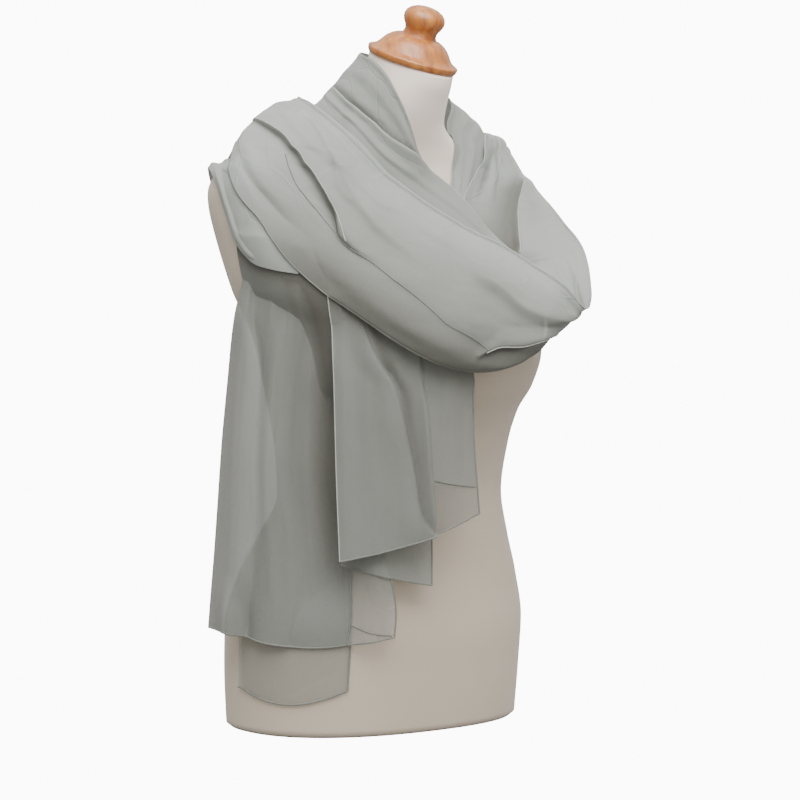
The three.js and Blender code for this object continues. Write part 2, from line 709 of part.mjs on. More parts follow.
const pieces = [
  ['collar', ribbonSection(collarRows), heightOf(collarFolds),
    { ...whole, along: 42, across: 6 }, []],
  ['tail_long_under', tailSection(tailUnderRows), heightOf(tailUnderFolds),
    { ...whole, along: 8, across: 12 }, []],
  ['tail_long', tailSection(tailLongRows), heightOf(tailLongFolds),
    { ...whole, along: 18, across: 24 }, ['tail_long_under']],
  ['tail_short_under', tailSection(tailTuckRows), heightOf(tailTuckFolds),
    { ...whole, along: 6, across: 8 }, ['tail_long', 'tail_long_under']],
  ['tail_short', tailSection(tailShortRows), heightOf(tailShortFolds),
    { ...whole, along: 14, across: 20 },
    ['tail_long', 'tail_long_under', 'tail_short_under', 'collar']],
  ['far_swag', ringSection, ringHeight, { ...farSpan, along: 22, across: 18, spare: 0.6 },
    ['collar']],
  ['inner_swag', ribbonSection(stripSeenRows), heightOf(stripFolds),
    { ...whole, along: 20, across: 5 }, ['collar', 'far_swag']],
  ['shoulder_band', ribbonSection(bandRows), heightOf(bandFolds),
    { ...whole, along: 20, across: 7, spare: 0.6 }, ['tail_long', 'tail_short']],
  ['front_swag', ringSection, ringHeight, { ...frontSpan, along: 34, across: 18, spare: 0.6 },
    ['collar', 'inner_swag', 'shoulder_band', 'tail_long', 'tail_short']],
  ['back_swag', ringSection, ringHeight, { ...backSpan, along: 18, across: 18 },
    ['collar', 'shoulder_band']],
];
for (const [name, section, heightAt, size, over] of pieces) {
  group.add(layCloth(name, section, heightAt, size, over));
}

export default group;
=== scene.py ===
# Evening stole on a limbless dress form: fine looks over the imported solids.
# Lengths in the tables are millimetres, meshes are metres.
import math

import bmesh
import bpy
import numpy as np
from mathutils import Matrix, Vector, noise
from mathutils.bvhtree import BVHTree


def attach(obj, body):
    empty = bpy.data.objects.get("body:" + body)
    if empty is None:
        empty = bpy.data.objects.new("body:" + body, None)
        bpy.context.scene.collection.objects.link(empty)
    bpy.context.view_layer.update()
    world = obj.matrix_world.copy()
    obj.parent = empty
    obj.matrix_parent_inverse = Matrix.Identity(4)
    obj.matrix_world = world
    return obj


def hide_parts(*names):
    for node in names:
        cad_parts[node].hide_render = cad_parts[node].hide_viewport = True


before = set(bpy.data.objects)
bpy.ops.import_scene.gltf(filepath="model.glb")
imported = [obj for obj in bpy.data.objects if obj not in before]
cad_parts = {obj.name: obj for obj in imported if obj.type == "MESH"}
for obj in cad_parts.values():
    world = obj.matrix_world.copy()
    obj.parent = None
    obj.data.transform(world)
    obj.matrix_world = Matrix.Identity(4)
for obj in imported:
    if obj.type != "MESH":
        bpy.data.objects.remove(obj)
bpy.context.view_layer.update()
print("frame loaded")

standTurn = math.radians(38)
standDistance = 2600.0
standAcross = 31.0
standHeight = 400.0
turnCos = math.cos(standTurn)
turnSin = math.sin(standTurn)


# shapes shared by all pieces

def curveThrough(places, values):
    # smooth curve through table rows, flat where the rows turn back
    x = np.asarray(places, float)
    y = np.asarray(values, float)
    step = np.diff(x)
    rise = np.diff(y) / step
    slope = np.zeros(len(x))
    for k in range(1, len(x) - 1):
        if rise[k - 1] * rise[k] > 0:
            a, b = 2 * step[k] + step[k - 1], step[k] + 2 * step[k - 1]
            slope[k] = (a + b) / (a / rise[k - 1] + b / rise[k])
    slope[0], slope[-1] = rise[0], rise[-1]

    def at(q):
        q = np.clip(q, x[0], x[-1])
        k = np.clip(np.searchsorted(x, q) - 1, 0, len(x) - 2)
        t = (q - x[k]) / step[k]
        a = (1 + 2 * t) * (1 - t) ** 2 * y[k] + t * t * (3 - 2 * t) * y[k + 1]
        b = t * (1 - t) ** 2 * slope[k] + t * t * (t - 1) * slope[k + 1]
        return a + b * step[k]
    return at


def lineCurve(line):
    return curveThrough([a for a, _ in line], [b for _, b in line])


def rowCurve(points, closed=False):
    # passes through row k at place k
    p = np.asarray(points, float)
    n = len(p)

    def at(place):
        place = np.asarray(place, float)
        if closed:
            place = place % n
            k = np.floor(place).astype(int)
            ids = [(k + d) % n for d in (-1, 0, 1, 2)]
        else:
            k = np.clip(np.floor(place).astype(int), 0, n - 2)
            ids = [np.clip(k + d, 0, n - 1) for d in (-1, 0, 1, 2)]
        t = (place - k)[..., None]
        a, b, c, d = (p[i] for i in ids)
        return 0.5 * (2 * b + (c - a) * t + (2 * a - 5 * b + 4 * c - d) * t ** 2
                      + (3 * b - a - 3 * c + d) * t ** 3)
    return at


def tableRows(keys, rows):
    # a row may leave out its last values
    return [dict(zip(keys.split(), row)) for row in rows]


def lerp(a, b, t):
    return a + (b - a) * t


def unit(way):
    return way / np.maximum(np.linalg.norm(way, axis=-1, keepdims=True), 1e-9)


def bump(offset, above, below):
    return np.exp(-(offset / np.where(offset < 0, above, below)) ** 2)


def smoothStep(a, b, x):
    t = np.clip((x - a) / (b - a), 0, 1)
    return t * t * (3 - 2 * t)


def seen(row):
    across, up, out = (np.asarray(v, float) for v in row)
    near = 1 - out / standDistance
    u = standAcross + (across - standAcross) * near
    z = standHeight + (up - standHeight) * near
    return np.stack([u * turnCos - out * turnSin, -u * turnSin - out * turnCos, z], -1)


def rowPoints(rows, key):
    # a row holds across, up and out as the camera sees them, or x, y, z where seen is False
    return [seen(r[key]) if r.get("seen", True) else np.array(r[key], float) for r in rows]


formRows = tableRows("up half front back full", [
    (0, 170, 119, 117, 2.3),
    (60, 173, 125, 119, 2.3),
    (110, 174, 129, 117, 2.3),
    (160, 163, 127, 104, 2.3),
    (205, 145, 126, 81, 2.3),
    (251, 131, 125, 58, 2.3),
    (306, 135, 136, 62, 2.3),
    (340, 140, 150, 70, 2.35),
    (368, 144, 172, 77, 2.5),
    (400, 148, 183, 84, 2.6),
    (430, 156, 181, 90, 2.6),
    (468, 177, 164, 97, 2.45),
    (520, 193, 126, 100, 2.3),
    (548, 200, 102, 98, 2.2),
    (572, 203, 86, 90, 2.2),
    (592, 198, 76, 74, 2.1),
    (606, 174, 73, 60, 2.0),
    (620, 130, 75, 47, 2.0),
    (636, 82, 82, 32, 2.0),
    (650, 58, 90, 16, 2.0),
    (668, 49, 101, -4, 2.0),
    (690, 45.5, 109, -18, 2.0),
    (713, 45, 115, -25, 2.0),
])
neckTop = formRows[-1]
neckMiddle = (neckTop["back"] - neckTop["front"]) / 2
lean = dict(angle=math.radians(22), turn=math.radians(12))
formUps = [row["up"] for row in formRows]
formCurves = {
    key: curveThrough(formUps, [row[key] for row in formRows])
    for key in ("half", "front", "back", "full")
}


def formAt(up):
    half, front, back, full = (formCurves[k](up) for k in ("half", "front", "back", "full"))
    return half, (back - front) / 2, (back + front) / 2, full


def formShare(p):
    half, middle, depth, full = formAt(p[..., 2])
    x = np.abs(p[..., 0] / half) ** full
    y = np.abs((p[..., 1] - middle) / depth) ** full
    return (x + y + 1e-12) ** (1 / full)


laying = dict(flattest=0.002, settleTurns=5, near=0.01, reach=90.0, cast=135.0,
              spreadTurns=40, smoothTurns=2)
rippleNoise = dict(apart=7.31, slant=0.35, rough=1.0, finer=2.1, octaves=3)


def formOut(p):
    # distance from the form's skin and the way out of it
    way = np.empty_like(p)
    for axis in range(3):
        step = np.zeros(3)
        step[axis] = 1.0
        way[..., axis] = (formShare(p + step) - formShare(p - step)) / 2
    length = np.maximum(np.linalg.norm(way, axis=-1), laying["flattest"])
    return (formShare(p) - 1) / length, way / length[..., None]


def settle(p, gap):
    for _ in range(laying["settleTurns"]):
        away, way = formOut(p)
        short = np.maximum(gap - away, 0)
        if short.max() < laying["near"]:
            break
        p = p + way * short[..., None]
    return p


def gridWays(p):
    ahead = np.gradient(p, axis=0)
    down = np.gradient(p, axis=1)
    way = unit(np.cross(ahead, down))
    _, out = formOut(p)
    return way if (way * out).sum() > 0 else -way


def ripples(s, t, settings):
    # soft uneven creases, long one way and short the other
    out = np.zeros(s.shape)
    flat = out.reshape(-1)
    a = (s * settings["along"]).reshape(-1)
    b = (t * settings["across"]).reshape(-1)
    shift = settings["seed"] * rippleNoise["apart"]
    for k in range(len(flat)):
        spot = Vector((a[k] + shift, b[k] + rippleNoise["slant"] * a[k], shift))
        flat[k] = noise.fractal(spot, rippleNoise["rough"], rippleNoise["finer"], rippleNoise["octaves"])
    return out * settings["height"]


laid = {}


def remember(name, p):
    n, m = p.shape[:2]
    ids = np.arange(n * m).reshape(n, m)
    quads = np.stack([ids[:-1, :-1], ids[1:, :-1], ids[1:, 1:], ids[:-1, 1:]], -1)
    laid[name] = BVHTree.FromPolygons(
        p.reshape(-1, 3).tolist(), quads.reshape(-1, 4).tolist())


def neighbourMean(grid):
    padded = np.pad(grid, 1, mode="edge")
    return (padded[:-2, 1:-1] + padded[2:, 1:-1] + padded[1:-1, :-2] + padded[1:-1, 2:]) / 4


def liftClear(p, over, gap, strength=None):
    # lifts a stretch off those it lies on, without steps in it
    reach = laying["reach"]
    _, way = formOut(p)
    way[..., 2] = np.maximum(way[..., 2], 0)
    way = unit(way)
    need = np.zeros(p.shape[:2])
    for i in range(p.shape[0]):
        for j in range(p.shape[1]):
            start = Vector(p[i, j] + way[i, j] * reach)
            down = Vector(-way[i, j])
            for name in over:
                distance = laid[name].ray_cast(start, down, laying["cast"])[3]
                if distance is not None:
                    need[i, j] = max(need[i, j], reach - distance + gap)
    if strength is not None:
        need = need * strength
    lift = need
    for _ in range(laying["spreadTurns"]):
        lift = np.maximum(neighbourMean(lift), need)
    for _ in range(laying["smoothTurns"]):
        lift = neighbourMean(lift)
    return p + way * lift[..., None]


def addObject(name, data):
    piece = bpy.data.objects.new(name, data)
    bpy.context.scene.collection.objects.link(piece)
    return piece


def meshObject(name, bm):
    mesh = bpy.data.meshes.new(name)
    bm.to_mesh(mesh)
    bm.free()
    return addObject(name, mesh)


def sheetMesh(name, p, size, closed=False, shares=None):
    # a grid laid on the points p, with its own flat coordinates in metres; of its shares
    # cover is how much of the light a sheer layer stops, the other how dark its layers lie together with
    # painted shade
    bm = bmesh.new()
    n, m = p.shape[0] - 1, p.shape[1] - 1
    bmesh.ops.create_grid(bm, x_segments=n, y_segments=m, size=1, calc_uvs=True)
    uvLayer = bm.loops.layers.uv.verify()
    layers = {key: bm.verts.layers.float.new(key) for key in shares or {}}
    flat = {}
    for v in bm.verts:
        i = round((v.co.x + 1) / 2 * n)
        j = round((v.co.y + 1) / 2 * m)
        for key, layer in layers.items():
            v[layer] = float(shares[key][i, j])
        flat[v] = (i / n * size[0], j / m * size[1])
        v.co = p[i, j] / 1000
    for f in bm.faces:
        f.smooth = True
        for loop in f.loops:
            loop[uvLayer].uv = flat[loop.vert]
    if closed:
        bmesh.ops.remove_doubles(bm, verts=bm.verts, dist=1e-6)
    bmesh.ops.recalc_face_normals(bm, faces=bm.faces)
    return meshObject(name, bm)


def wearMaterial(piece, material, nodes):
    piece.data.materials.append(material)
    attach(piece, "root")
    if nodes:
        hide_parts(*nodes)
    return piece


# materials

def tone(code):
    parts = [int(code[k:k + 2], 16) / 255 for k in (1, 3, 5)]
    return [c / 12.92 if c <= 0.04045 else ((c + 0.055) / 1.055) ** 2.4 for c in parts] + [1.0]


def addNode(tree, kind, links=None, **values):
    node = tree.nodes.new(kind)
    for key, value in values.items():
        if hasattr(node, key):
            setattr(node, key, value)
        else:
            node.inputs[key.replace("_", " ")].default_value = value
    for key, source in (links or {}).items():
        tree.links.new(source, node.inputs[key])
    return node


def setInputs(node, values):
    for key, value in values.items():
        node.inputs[key].default_value = value


def mixTones(tree, factor, first, second):
    # each of the two is a code or a link
    mixer = addNode(tree, "ShaderNodeMix", {"Factor": factor}, data_type="RGBA")
    for key, value in (("A", first), ("B", second)):
        if isinstance(value, str):
            mixer.inputs[key].default_value = tone(value)
        else:
            tree.links.new(value, mixer.inputs[key])
    return mixer.outputs["Result"]


def newMaterial(name):
    material = bpy.data.materials.new(name)
    material.use_nodes = True
    tree = material.node_tree
    tree.nodes.clear()
    surface = addNode(tree, "ShaderNodeBsdfPrincipled")
    output = addNode(tree, "ShaderNodeOutputMaterial")
    return material, tree, surface, output


def chiffonMaterial(name, cloth):
    # crepe-twisted silk chiffon, plain woven: matt, slightly pebbled, sheer in one layer
    material, tree, surface, output = newMaterial(name)
    flat = addNode(tree, "ShaderNodeUVMap").outputs["UV"]
    shade = addNode(tree, "ShaderNodeTexNoise", {"Vector": flat}, Scale=cloth["patches"], Detail=3)
    colour = mixTones(tree, shade.outputs["Fac"], cloth["dark"], cloth["light"])
    if "layersAndShadeTone" in cloth:
        # darkened by a point attribute that holds painted shade together with the darker look of more
        # layers
        layersAndShade = addNode(tree, "ShaderNodeAttribute", attribute_name="layersAndShade").outputs["Fac"]
        colour = mixTones(tree, layersAndShade, colour, cloth["layersAndShadeTone"])
    weave = addNode(tree, "ShaderNodeMath", operation="MAXIMUM")
    for k, way in enumerate("XY"):
        threads = addNode(tree, "ShaderNodeTexWave", {"Vector": flat}, Scale=cloth["threads"],
                          Distortion=0.6, bands_direction=way)
        tree.links.new(threads.outputs["Fac"], weave.inputs[k])
    crepe = addNode(tree, "ShaderNodeTexNoise", {"Vector": flat}, Scale=cloth["crepe"], Detail=4)
    small = addNode(tree, "ShaderNodeBump", {"Height": weave.outputs[0]},
                    Strength=0.12, Distance=0.0001)
    pebbled = addNode(tree, "ShaderNodeBump",
                      {"Height": crepe.outputs["Fac"], "Normal": small.outputs["Normal"]},
                      Strength=0.45, Distance=0.0006)
    # faint sharp creases left by folding and packing, 40 to 80 mm apart
    sway = addNode(tree, "ShaderNodeTexNoise", {"Vector": flat}, Scale=cloth["sway"], Detail=2)
    swayed = addNode(tree, "ShaderNodeVectorMath", operation="MULTIPLY_ADD")
    tree.links.new(sway.outputs["Color"], swayed.inputs[0])
    swayed.inputs[1].default_value = (cloth["swayBy"],) * 3
    tree.links.new(flat, swayed.inputs[2])
    slanted = addNode(tree, "ShaderNodeMapping", {"Vector": swayed.outputs[0]})
    setInputs(slanted, {"Rotation": cloth["facetTurn"], "Scale": cloth["facets"]})
    facets = addNode(tree, "ShaderNodeTexVoronoi", {"Vector": slanted.outputs[0]},
                     feature="DISTANCE_TO_EDGE", voronoi_dimensions="2D", Scale=1.0)
    crease = addNode(tree, "ShaderNodeMapRange", {"Value": facets.outputs["Distance"]})
    setInputs(crease, {"From Max": cloth["facetLine"]})
    large = addNode(tree, "ShaderNodeBump",
                    {"Height": crease.outputs["Result"], "Normal": pebbled.outputs["Normal"]},
                    Strength=cloth["plain"], Distance=0.0008, invert=True)
    if "layersAndShadeTone" in cloth:
        # the hanging ends are smoother than the gathered turns
        calm = addNode(tree, "ShaderNodeMapRange", {"Value": layersAndShade})
        setInputs(calm, {"From Max": 0.5, "To Min": cloth["crumple"], "To Max": cloth["calm"]})
        tree.links.new(calm.outputs["Result"], large.inputs["Strength"])
        cover = addNode(tree, "ShaderNodeAttribute", attribute_name="cover")
        tree.links.new(cover.outputs["Fac"], surface.inputs["Alpha"])
    tree.links.new(colour, surface.inputs["Base Color"])
    tree.links.new(large.outputs["Normal"], surface.inputs["Normal"])
    setInputs(surface, {
        "Roughness": 0.72, "IOR": 1.5, "Specular IOR Level": 0.3, "Sheen Weight": cloth["sheen"],
        "Sheen Roughness": 0.45, "Sheen Tint": tone("#e6e9e4")})
    through = addNode(tree, "ShaderNodeBsdfTranslucent",
                      {"Color": colour, "Normal": large.outputs["Normal"]})
    both = addNode(tree, "ShaderNodeMixShader")
    both.inputs["Fac"].default_value = cloth["glow"]
    tree.links.new(surface.outputs[0], both.inputs[1])
    tree.links.new(through.outputs[0], both.inputs[2])
    tree.links.new(both.outputs[0], output.inputs["Surface"])
    return material


def jerseyMaterial(look):
    # cotton jersey knitted fine and stretched over foam: matt with a faint nap, with painted light
    # making it paler towards the neck
    material, tree, surface, output = newMaterial("cottonJerseyKnitted")
    spot = addNode(tree, "ShaderNodeTexCoord").outputs["Object"]
    shade = addNode(tree, "ShaderNodeTexNoise", {"Vector": spot}, Scale=9, Detail=4)
    body = mixTones(tree, shade.outputs["Fac"], look["dark"], look["light"])
    height = addNode(tree, "ShaderNodeSeparateXYZ", {"Vector": spot})
    rise = addNode(tree, "ShaderNodeMapRange", {"Value": height.outputs["Z"]})
    setInputs(rise, {"From Min": look["paleFrom"], "From Max": look["paleTo"]})
    litNeckTone = mixTones(tree, rise.outputs["Result"], body, look["neck"])
    tree.links.new(litNeckTone, surface.inputs["Base Color"])
    knit = addNode(tree, "ShaderNodeTexNoise", {"Vector": spot}, Scale=look["knit"], Detail=2)
    lumps = addNode(tree, "ShaderNodeBump", {"Height": knit.outputs["Fac"]},
                    Strength=0.25, Distance=0.0003)
    tree.links.new(lumps.outputs["Normal"], surface.inputs["Normal"])
    setInputs(surface, {"Roughness": 0.85, "IOR": 1.5, "Specular IOR Level": 0.25,
                        "Sheen Weight": 0.2, "Sheen Roughness": 0.5})
    tree.links.new(surface.outputs[0], output.inputs["Surface"])
    return material


def woodMaterial(look):
    # beech turned on a lathe and varnished: warm, fine grained, softly glossy
    material, tree, surface, output = newMaterial("beechTurnedVarnished")
    spot = addNode(tree, "ShaderNodeTexCoord").outputs["Object"]
    stretch = addNode(tree, "ShaderNodeMapping", {"Vector": spot})
    setInputs(stretch, {"Scale": look["stretch"], "Rotation": look["turn"]})
    grain = addNode(tree, "ShaderNodeTexNoise", {"Vector": stretch.outputs[0]},
                    Scale=look["grain"], Detail=5, Distortion=0.4)
    ramp = addNode(tree, "ShaderNodeValToRGB", {"Fac": grain.outputs["Fac"]})
    for stop, key, position in zip(ramp.color_ramp.elements, ("dark", "light"), (0.3, 0.7)):
        stop.color = tone(look[key])
        stop.position = position
    tree.links.new(ramp.outputs["Color"], surface.inputs["Base Color"])
    setInputs(surface, {"Roughness": 0.42, "IOR": 1.5, "Coat Weight": 0.35,
                        "Coat Roughness": 0.16, "Coat IOR": 1.5})
    tree.links.new(surface.outputs[0], output.inputs["Surface"])
    return material


# threads is the scale of a wave texture, here about 45 threads to the centimetre
chiffonLook = dict(
    dark="#8d908a", light="#9da09a", glow=0.12, sheen=0.14, patches=14, threads=1432.391, crepe=900,
    sway=9, swayBy=0.05, facets=(12, 26, 1), facetTurn=(0, 0, 0.5), facetLine=0.04,
    plain=0.1, crumple=0.5, calm=0.03)
# the dark tone mixed in by that attribute is painted shade in valleys, under laps and edges, and the
# denser look of more layers
chiffon = chiffonMaterial("silkChiffonCrepe", dict(chiffonLook, layersAndShadeTone="#55544d"))
# a lighter copy of the chiffon for thin fold tubes: a painted highlight along fold edges
foldHighlight = chiffonMaterial("silkChiffonFoldHighlight",
                         dict(chiffonLook, dark="#a3a6a0", light="#b0b3ad", glow=0.05))
# a darker copy for the rolled hems, also used for tubes of painted shade along the lower fold and behind
# the top fold
hemAndShadeCloth = chiffonMaterial("silkChiffonRolledAndShade",
                         dict(chiffonLook, dark="#5c5d57", light="#84867f", glow=0.05))
# the pale neck tone is painted light on the upper jersey
jersey = jerseyMaterial(dict(dark="#b4a795", light="#c0b3a2", neck="#fff0e2",
                             paleFrom=0.56, paleTo=0.66, knit=900))
wood = woodMaterial(dict(dark="#8f4e1c", light="#bb7733", grain=160,
                         stretch=(1, 1, 0.12), turn=(0.9, 0.2, 0)))
print("materials made")


# the form and its cap

formLook = dict(around=144, up=190, tiltFrom=662, edge=5, flat=(1.0, 0.72))


def formSkin(around, up):
    half, middle, depth, full = formAt(up)
    c, d = np.cos(around), np.sin(around)
    x = half * np.sign(c) * np.abs(c) ** (2 / full)
    y = depth * np.sign(d) * np.abs(d) ** (2 / full)
    tilt = smoothStep(formLook["tiltFrom"], neckTop["up"], up) * math.tan(lean["angle"])
    rise = tilt * (y * math.cos(lean["turn"]) - x * math.sin(lean["turn"]))
    return np.stack([x, middle + y, up + rise], -1)


turns = np.linspace(0, 2 * math.pi, formLook["around"] + 1)
ups = np.linspace(0, neckTop["up"], formLook["up"] + 1)
aroundGrid, upGrid = np.meshgrid(turns, ups, indexing="ij")
skin = formSkin(aroundGrid, upGrid)
skin[-1] = skin[0]
below = np.clip(1 - (1 - upGrid / formLook["edge"]) ** 2, 0, 1)
rounded = formLook["edge"] * (1 - np.sqrt(below))
rounded = np.where(upGrid < formLook["edge"], rounded, 0)
skin[..., :2] *= (1 - rounded / formRows[0]["half"])[..., None]
formPiece = sheetMesh("formSkin", skin, formLook["flat"], closed=True)
shell = bmesh.new()
shell.from_mesh(formPiece.data)
bmesh.ops.holes_fill(shell, edges=shell.edges, sides=0)
bmesh.ops.recalc_face_normals(shell, faces=shell.faces)
shell.to_mesh(formPiece.data)
shell.free()
wearMaterial(formPiece, jersey, ["form_body"])
remember("form", skin)
print("form made")

capLook = dict(around=112, lift=0.3)
# rim, bell, stem and knob, turned in one piece
capProfile = tableRows("radius up", [
    (0, 0), (46, 0), (48.2, 0.7), (49.2, 2.2), (50, 6), (49.7, 7.1), (48.2, 8), (45.5, 9),
    (42.8, 10.7), (40.6, 12.9), (38.6, 15.6), (37, 18), (34, 21.8), (29.5, 25.6), (24.4, 28.2),
    (20, 29.3), (18.9, 29.5), (18.7, 30.4), (17.6, 33), (17.6, 35.6), (18.6, 38.4), (20.8, 42),
    (22.4, 46), (22.6, 50), (21.2, 54), (17.6, 57.8), (12, 60.6), (6, 61.8), (0, 62),
])
turning = bmesh.new()
verts = [turning.verts.new((r["radius"] / 1000, 0, r["up"] / 1000)) for r in capProfile]
edges = [turning.edges.new(pair) for pair in zip(verts, verts[1:])]
bmesh.ops.spin(turning, geom=verts + edges, cent=(0, 0, 0), axis=(0, 0, 1),
               angle=2 * math.pi, steps=capLook["around"], use_merge=True)
bmesh.ops.remove_doubles(turning, verts=turning.verts, dist=1e-6)
bmesh.ops.recalc_face_normals(turning, faces=turning.faces)
capPlace = (Matrix.Translation((0, neckMiddle / 1000, neckTop["up"] / 1000))
            @ Matrix.Rotation(lean["turn"], 4, "Z") @ Matrix.Rotation(lean["angle"], 4, "X")
            @ Matrix.Translation((0, 0, capLook["lift"] / 1000)))
bmesh.ops.transform(turning, matrix=capPlace, verts=turning.verts)
for f in turning.faces:
    f.smooth = True
wearMaterial(meshObject("neckCapTurned", turning), wood, ["neck_cap"])
print("cap made")


# cloth

foldKeys = "line height above below fade lap"
foldEnds = dict(fade=0.06, near=0.001, lapAbove=0.6, lapBelow=1.6)


def ribbonShape(rows, s, t):
    tops, lows = (rowCurve(rowPoints(rows, key)) for key in ("top", "low"))
    bellies = rowCurve([[r["belly"]] for r in rows])
    place = s * (len(rows) - 1)
    p = lerp(tops(place), lows(place), t[..., None])
    _, out = formOut(p)
    return p + out * bellies(place) * np.sin(math.pi * t)[..., None]


def foldField(folds, s, t):
    # height of the folds and how far the cloth slides over itself at each
    height = np.zeros(s.shape)
    slide = np.zeros(s.shape)
    for fold in folds:
        place = lineCurve(fold["line"])(s)
        ends = fold["line"][0][0], fold["line"][-1][0]
        fade = fold.get("fade", foldEnds["fade"])
        strong = np.ones(s.shape)
        if ends[0] > foldEnds["near"]:
            strong = strong * smoothStep(ends[0] - fade, ends[0] + fade, s)
        if ends[1] < s.max() - foldEnds["near"]:
            strong = strong * (1 - smoothStep(ends[1] - fade, ends[1] + fade, s))
        shape = bump(t - place, fold["above"], fold["below"]) * strong
        height += fold["height"] * shape
        lap = bump(t - place, fold["above"] * foldEnds["lapAbove"],
                   fold["below"] * foldEnds["lapBelow"])
        slide += fold.get("lap", 0) * lap * strong
    return height, slide


def tailShape(rows, s, t):
    lefts, rights = (rowCurve(rowPoints(rows, key)) for key in ("left", "right"))
    shapes = rowCurve([[r["belly"], r["sag"]] for r in rows])
    place = s * (len(rows) - 1)
    p = lerp(lefts(place), rights(place), t[..., None])
    shape = shapes(place)
    bow = np.sin(math.pi * t)
    p[..., 0] -= turnSin * shape[..., 0] * bow
    p[..., 1] -= turnCos * shape[..., 0] * bow
    p[..., 2] -= shape[..., 1] * bow
    return p


def layStretch(name, look, shape):
    n, m = look["cells"]
    s, t = np.meshgrid(np.linspace(0, 1, n + 1), np.linspace(0, 1, m + 1), indexing="ij")
    height, slide = foldField(look["folds"], s, t)
    base = shape(look["rows"], s, np.clip(t + slide, 0, 1))
    height = height + ripples(s, t, look["ripples"])
    p = base + gridWays(base) * height[..., None]
    p = settle(p, look["gap"])
    p = liftClear(p, look["over"], look["apart"])
    remember(name, p)
    return p


def lengthOf(line):
    return float(np.linalg.norm(np.diff(line, axis=0), axis=1).sum()) / 1000


hemLook = dict(wide=1.1, thick=0.8, stitch=3.2, pinch=0.5)
foldLook = dict(wide=0.55, thick=0.45, stitch=3.4, pinch=0)
hemMesh = dict(step=0.9, fewest=8, sides=8, sharp=6, flat=0.005, points=61)


def rollHem(name, line, hem, cloth=None):
    # narrow rolled hem, pinched by its stitches; also a plain sharp fold, with no pinch; such tubes also
    # carry painted highlight along fold edges and painted shade along the top and lower folds
    line = np.asarray(line)
    gone = np.concatenate([[0], np.cumsum(np.linalg.norm(np.diff(line, axis=0), axis=1))])
    count = max(int(gone[-1] / hemMesh["step"]), hemMesh["fewest"])
    at = np.linspace(0, gone[-1], count + 1)
    path = np.stack([np.interp(at, gone, line[:, k]) for k in range(3)], -1)
    ahead = unit(np.gradient(path, axis=0))
    _, out = formOut(path)
    side = unit(np.cross(ahead, out))
    out = np.cross(side, ahead)
    pinch = 1 - hem["pinch"] * np.abs(np.cos(math.pi * at / hem["stitch"])) ** hemMesh["sharp"]
    angles = np.linspace(0, 2 * math.pi, hemMesh["sides"] + 1)
    tube = (np.cos(angles)[None, :, None] * side[:, None] * hem["wide"]
            + np.sin(angles)[None, :, None] * out[:, None] * hem["thick"])
    p = path[:, None] + tube * pinch[:, None, None]
    p[:, -1] = p[:, 0]
    piece = sheetMesh(name, p, (gone[-1] / 1000, hemMesh["flat"]), closed=True)
    return wearMaterial(piece, cloth or hemAndShadeCloth, [])


collarLook = dict(
    cells=(280, 44), gap=1.4, apart=1.2, over=["form"],
    rows=tableRows("top low belly seen", [
        ([0, -14, 724], [0, 46, 652], 2, False),
        ([-31, -24, 726], [-66, 34, 650], 2, False),
        ([-9, 728, 50], [-42, 672, 56], 2),
        ([2, 723, 82], [-24, 655, 78], 2),
        ([14, 711, 94], [-3, 632, 86], 2),
        ([24, 694, 97], [18, 608, 84], 2),
        ([35, 671, 96], [40, 584, 78], 2),
        ([43, 646, 88], [58, 562, 72], 2),
        ([51, 621, 74], [74, 543, 68], 2),
        ([66, 594, 52], [90, 533, 60], 2),
        ([84, 581, 38], [103, 534, 52], 2),
        ([87, 602, 22], [111, 560, 30], 2),
        ([84, 628, 10], [119, 588, 4], 4),
        ([82, 652, -2], [125, 614, -30], 6),
        ([84, 681, -20], [127, 631, -62], 6),
        ([30, -22, 718], [64, 38, 650], 2, False),
        ([0, -14, 724], [0, 46, 652], 2, False),
    ]),
    folds=tableRows(foldKeys, [
        ([(0, 0.02), (1, 0.02)], 1.6, 0.03, 0.05),
        ([(0, 0.34), (0.4, 0.3), (0.7, 0.34), (1, 0.3)], 1.1, 0.12, 0.08),
        ([(0, 0.62), (0.5, 0.66), (1, 0.6)], 1.2, 0.12, 0.08),
    ]),
    ripples=dict(along=9, across=3, height=1.1, seed=1),
)
collar = layStretch("collar", collarLook, ribbonShape)

tailUnderLook = dict(
    cells=(90, 90), gap=2.0, apart=1.5, over=[],
    rows=tableRows("left right sag belly", [
        ([-146, 150, 108], [-22, 174, 150], 0, 8),
        ([-147, 84, 108], [-23, 108, 150], 2, 8),
        ([-148, 34, 108], [-27, 30, 150], 14, 8),
    ]),
    folds=tableRows(foldKeys, [
        ([(0, 0.3), (1, 0.32)], 2.5, 0.1, 0.06),
        ([(0, 0.72), (1, 0.76)], 2.5, 0.12, 0.08),
    ]),
    ripples=dict(along=2, across=4, height=1.5, seed=2),
)
tailUnder = layStretch("tailUnder", tailUnderLook, tailShape)

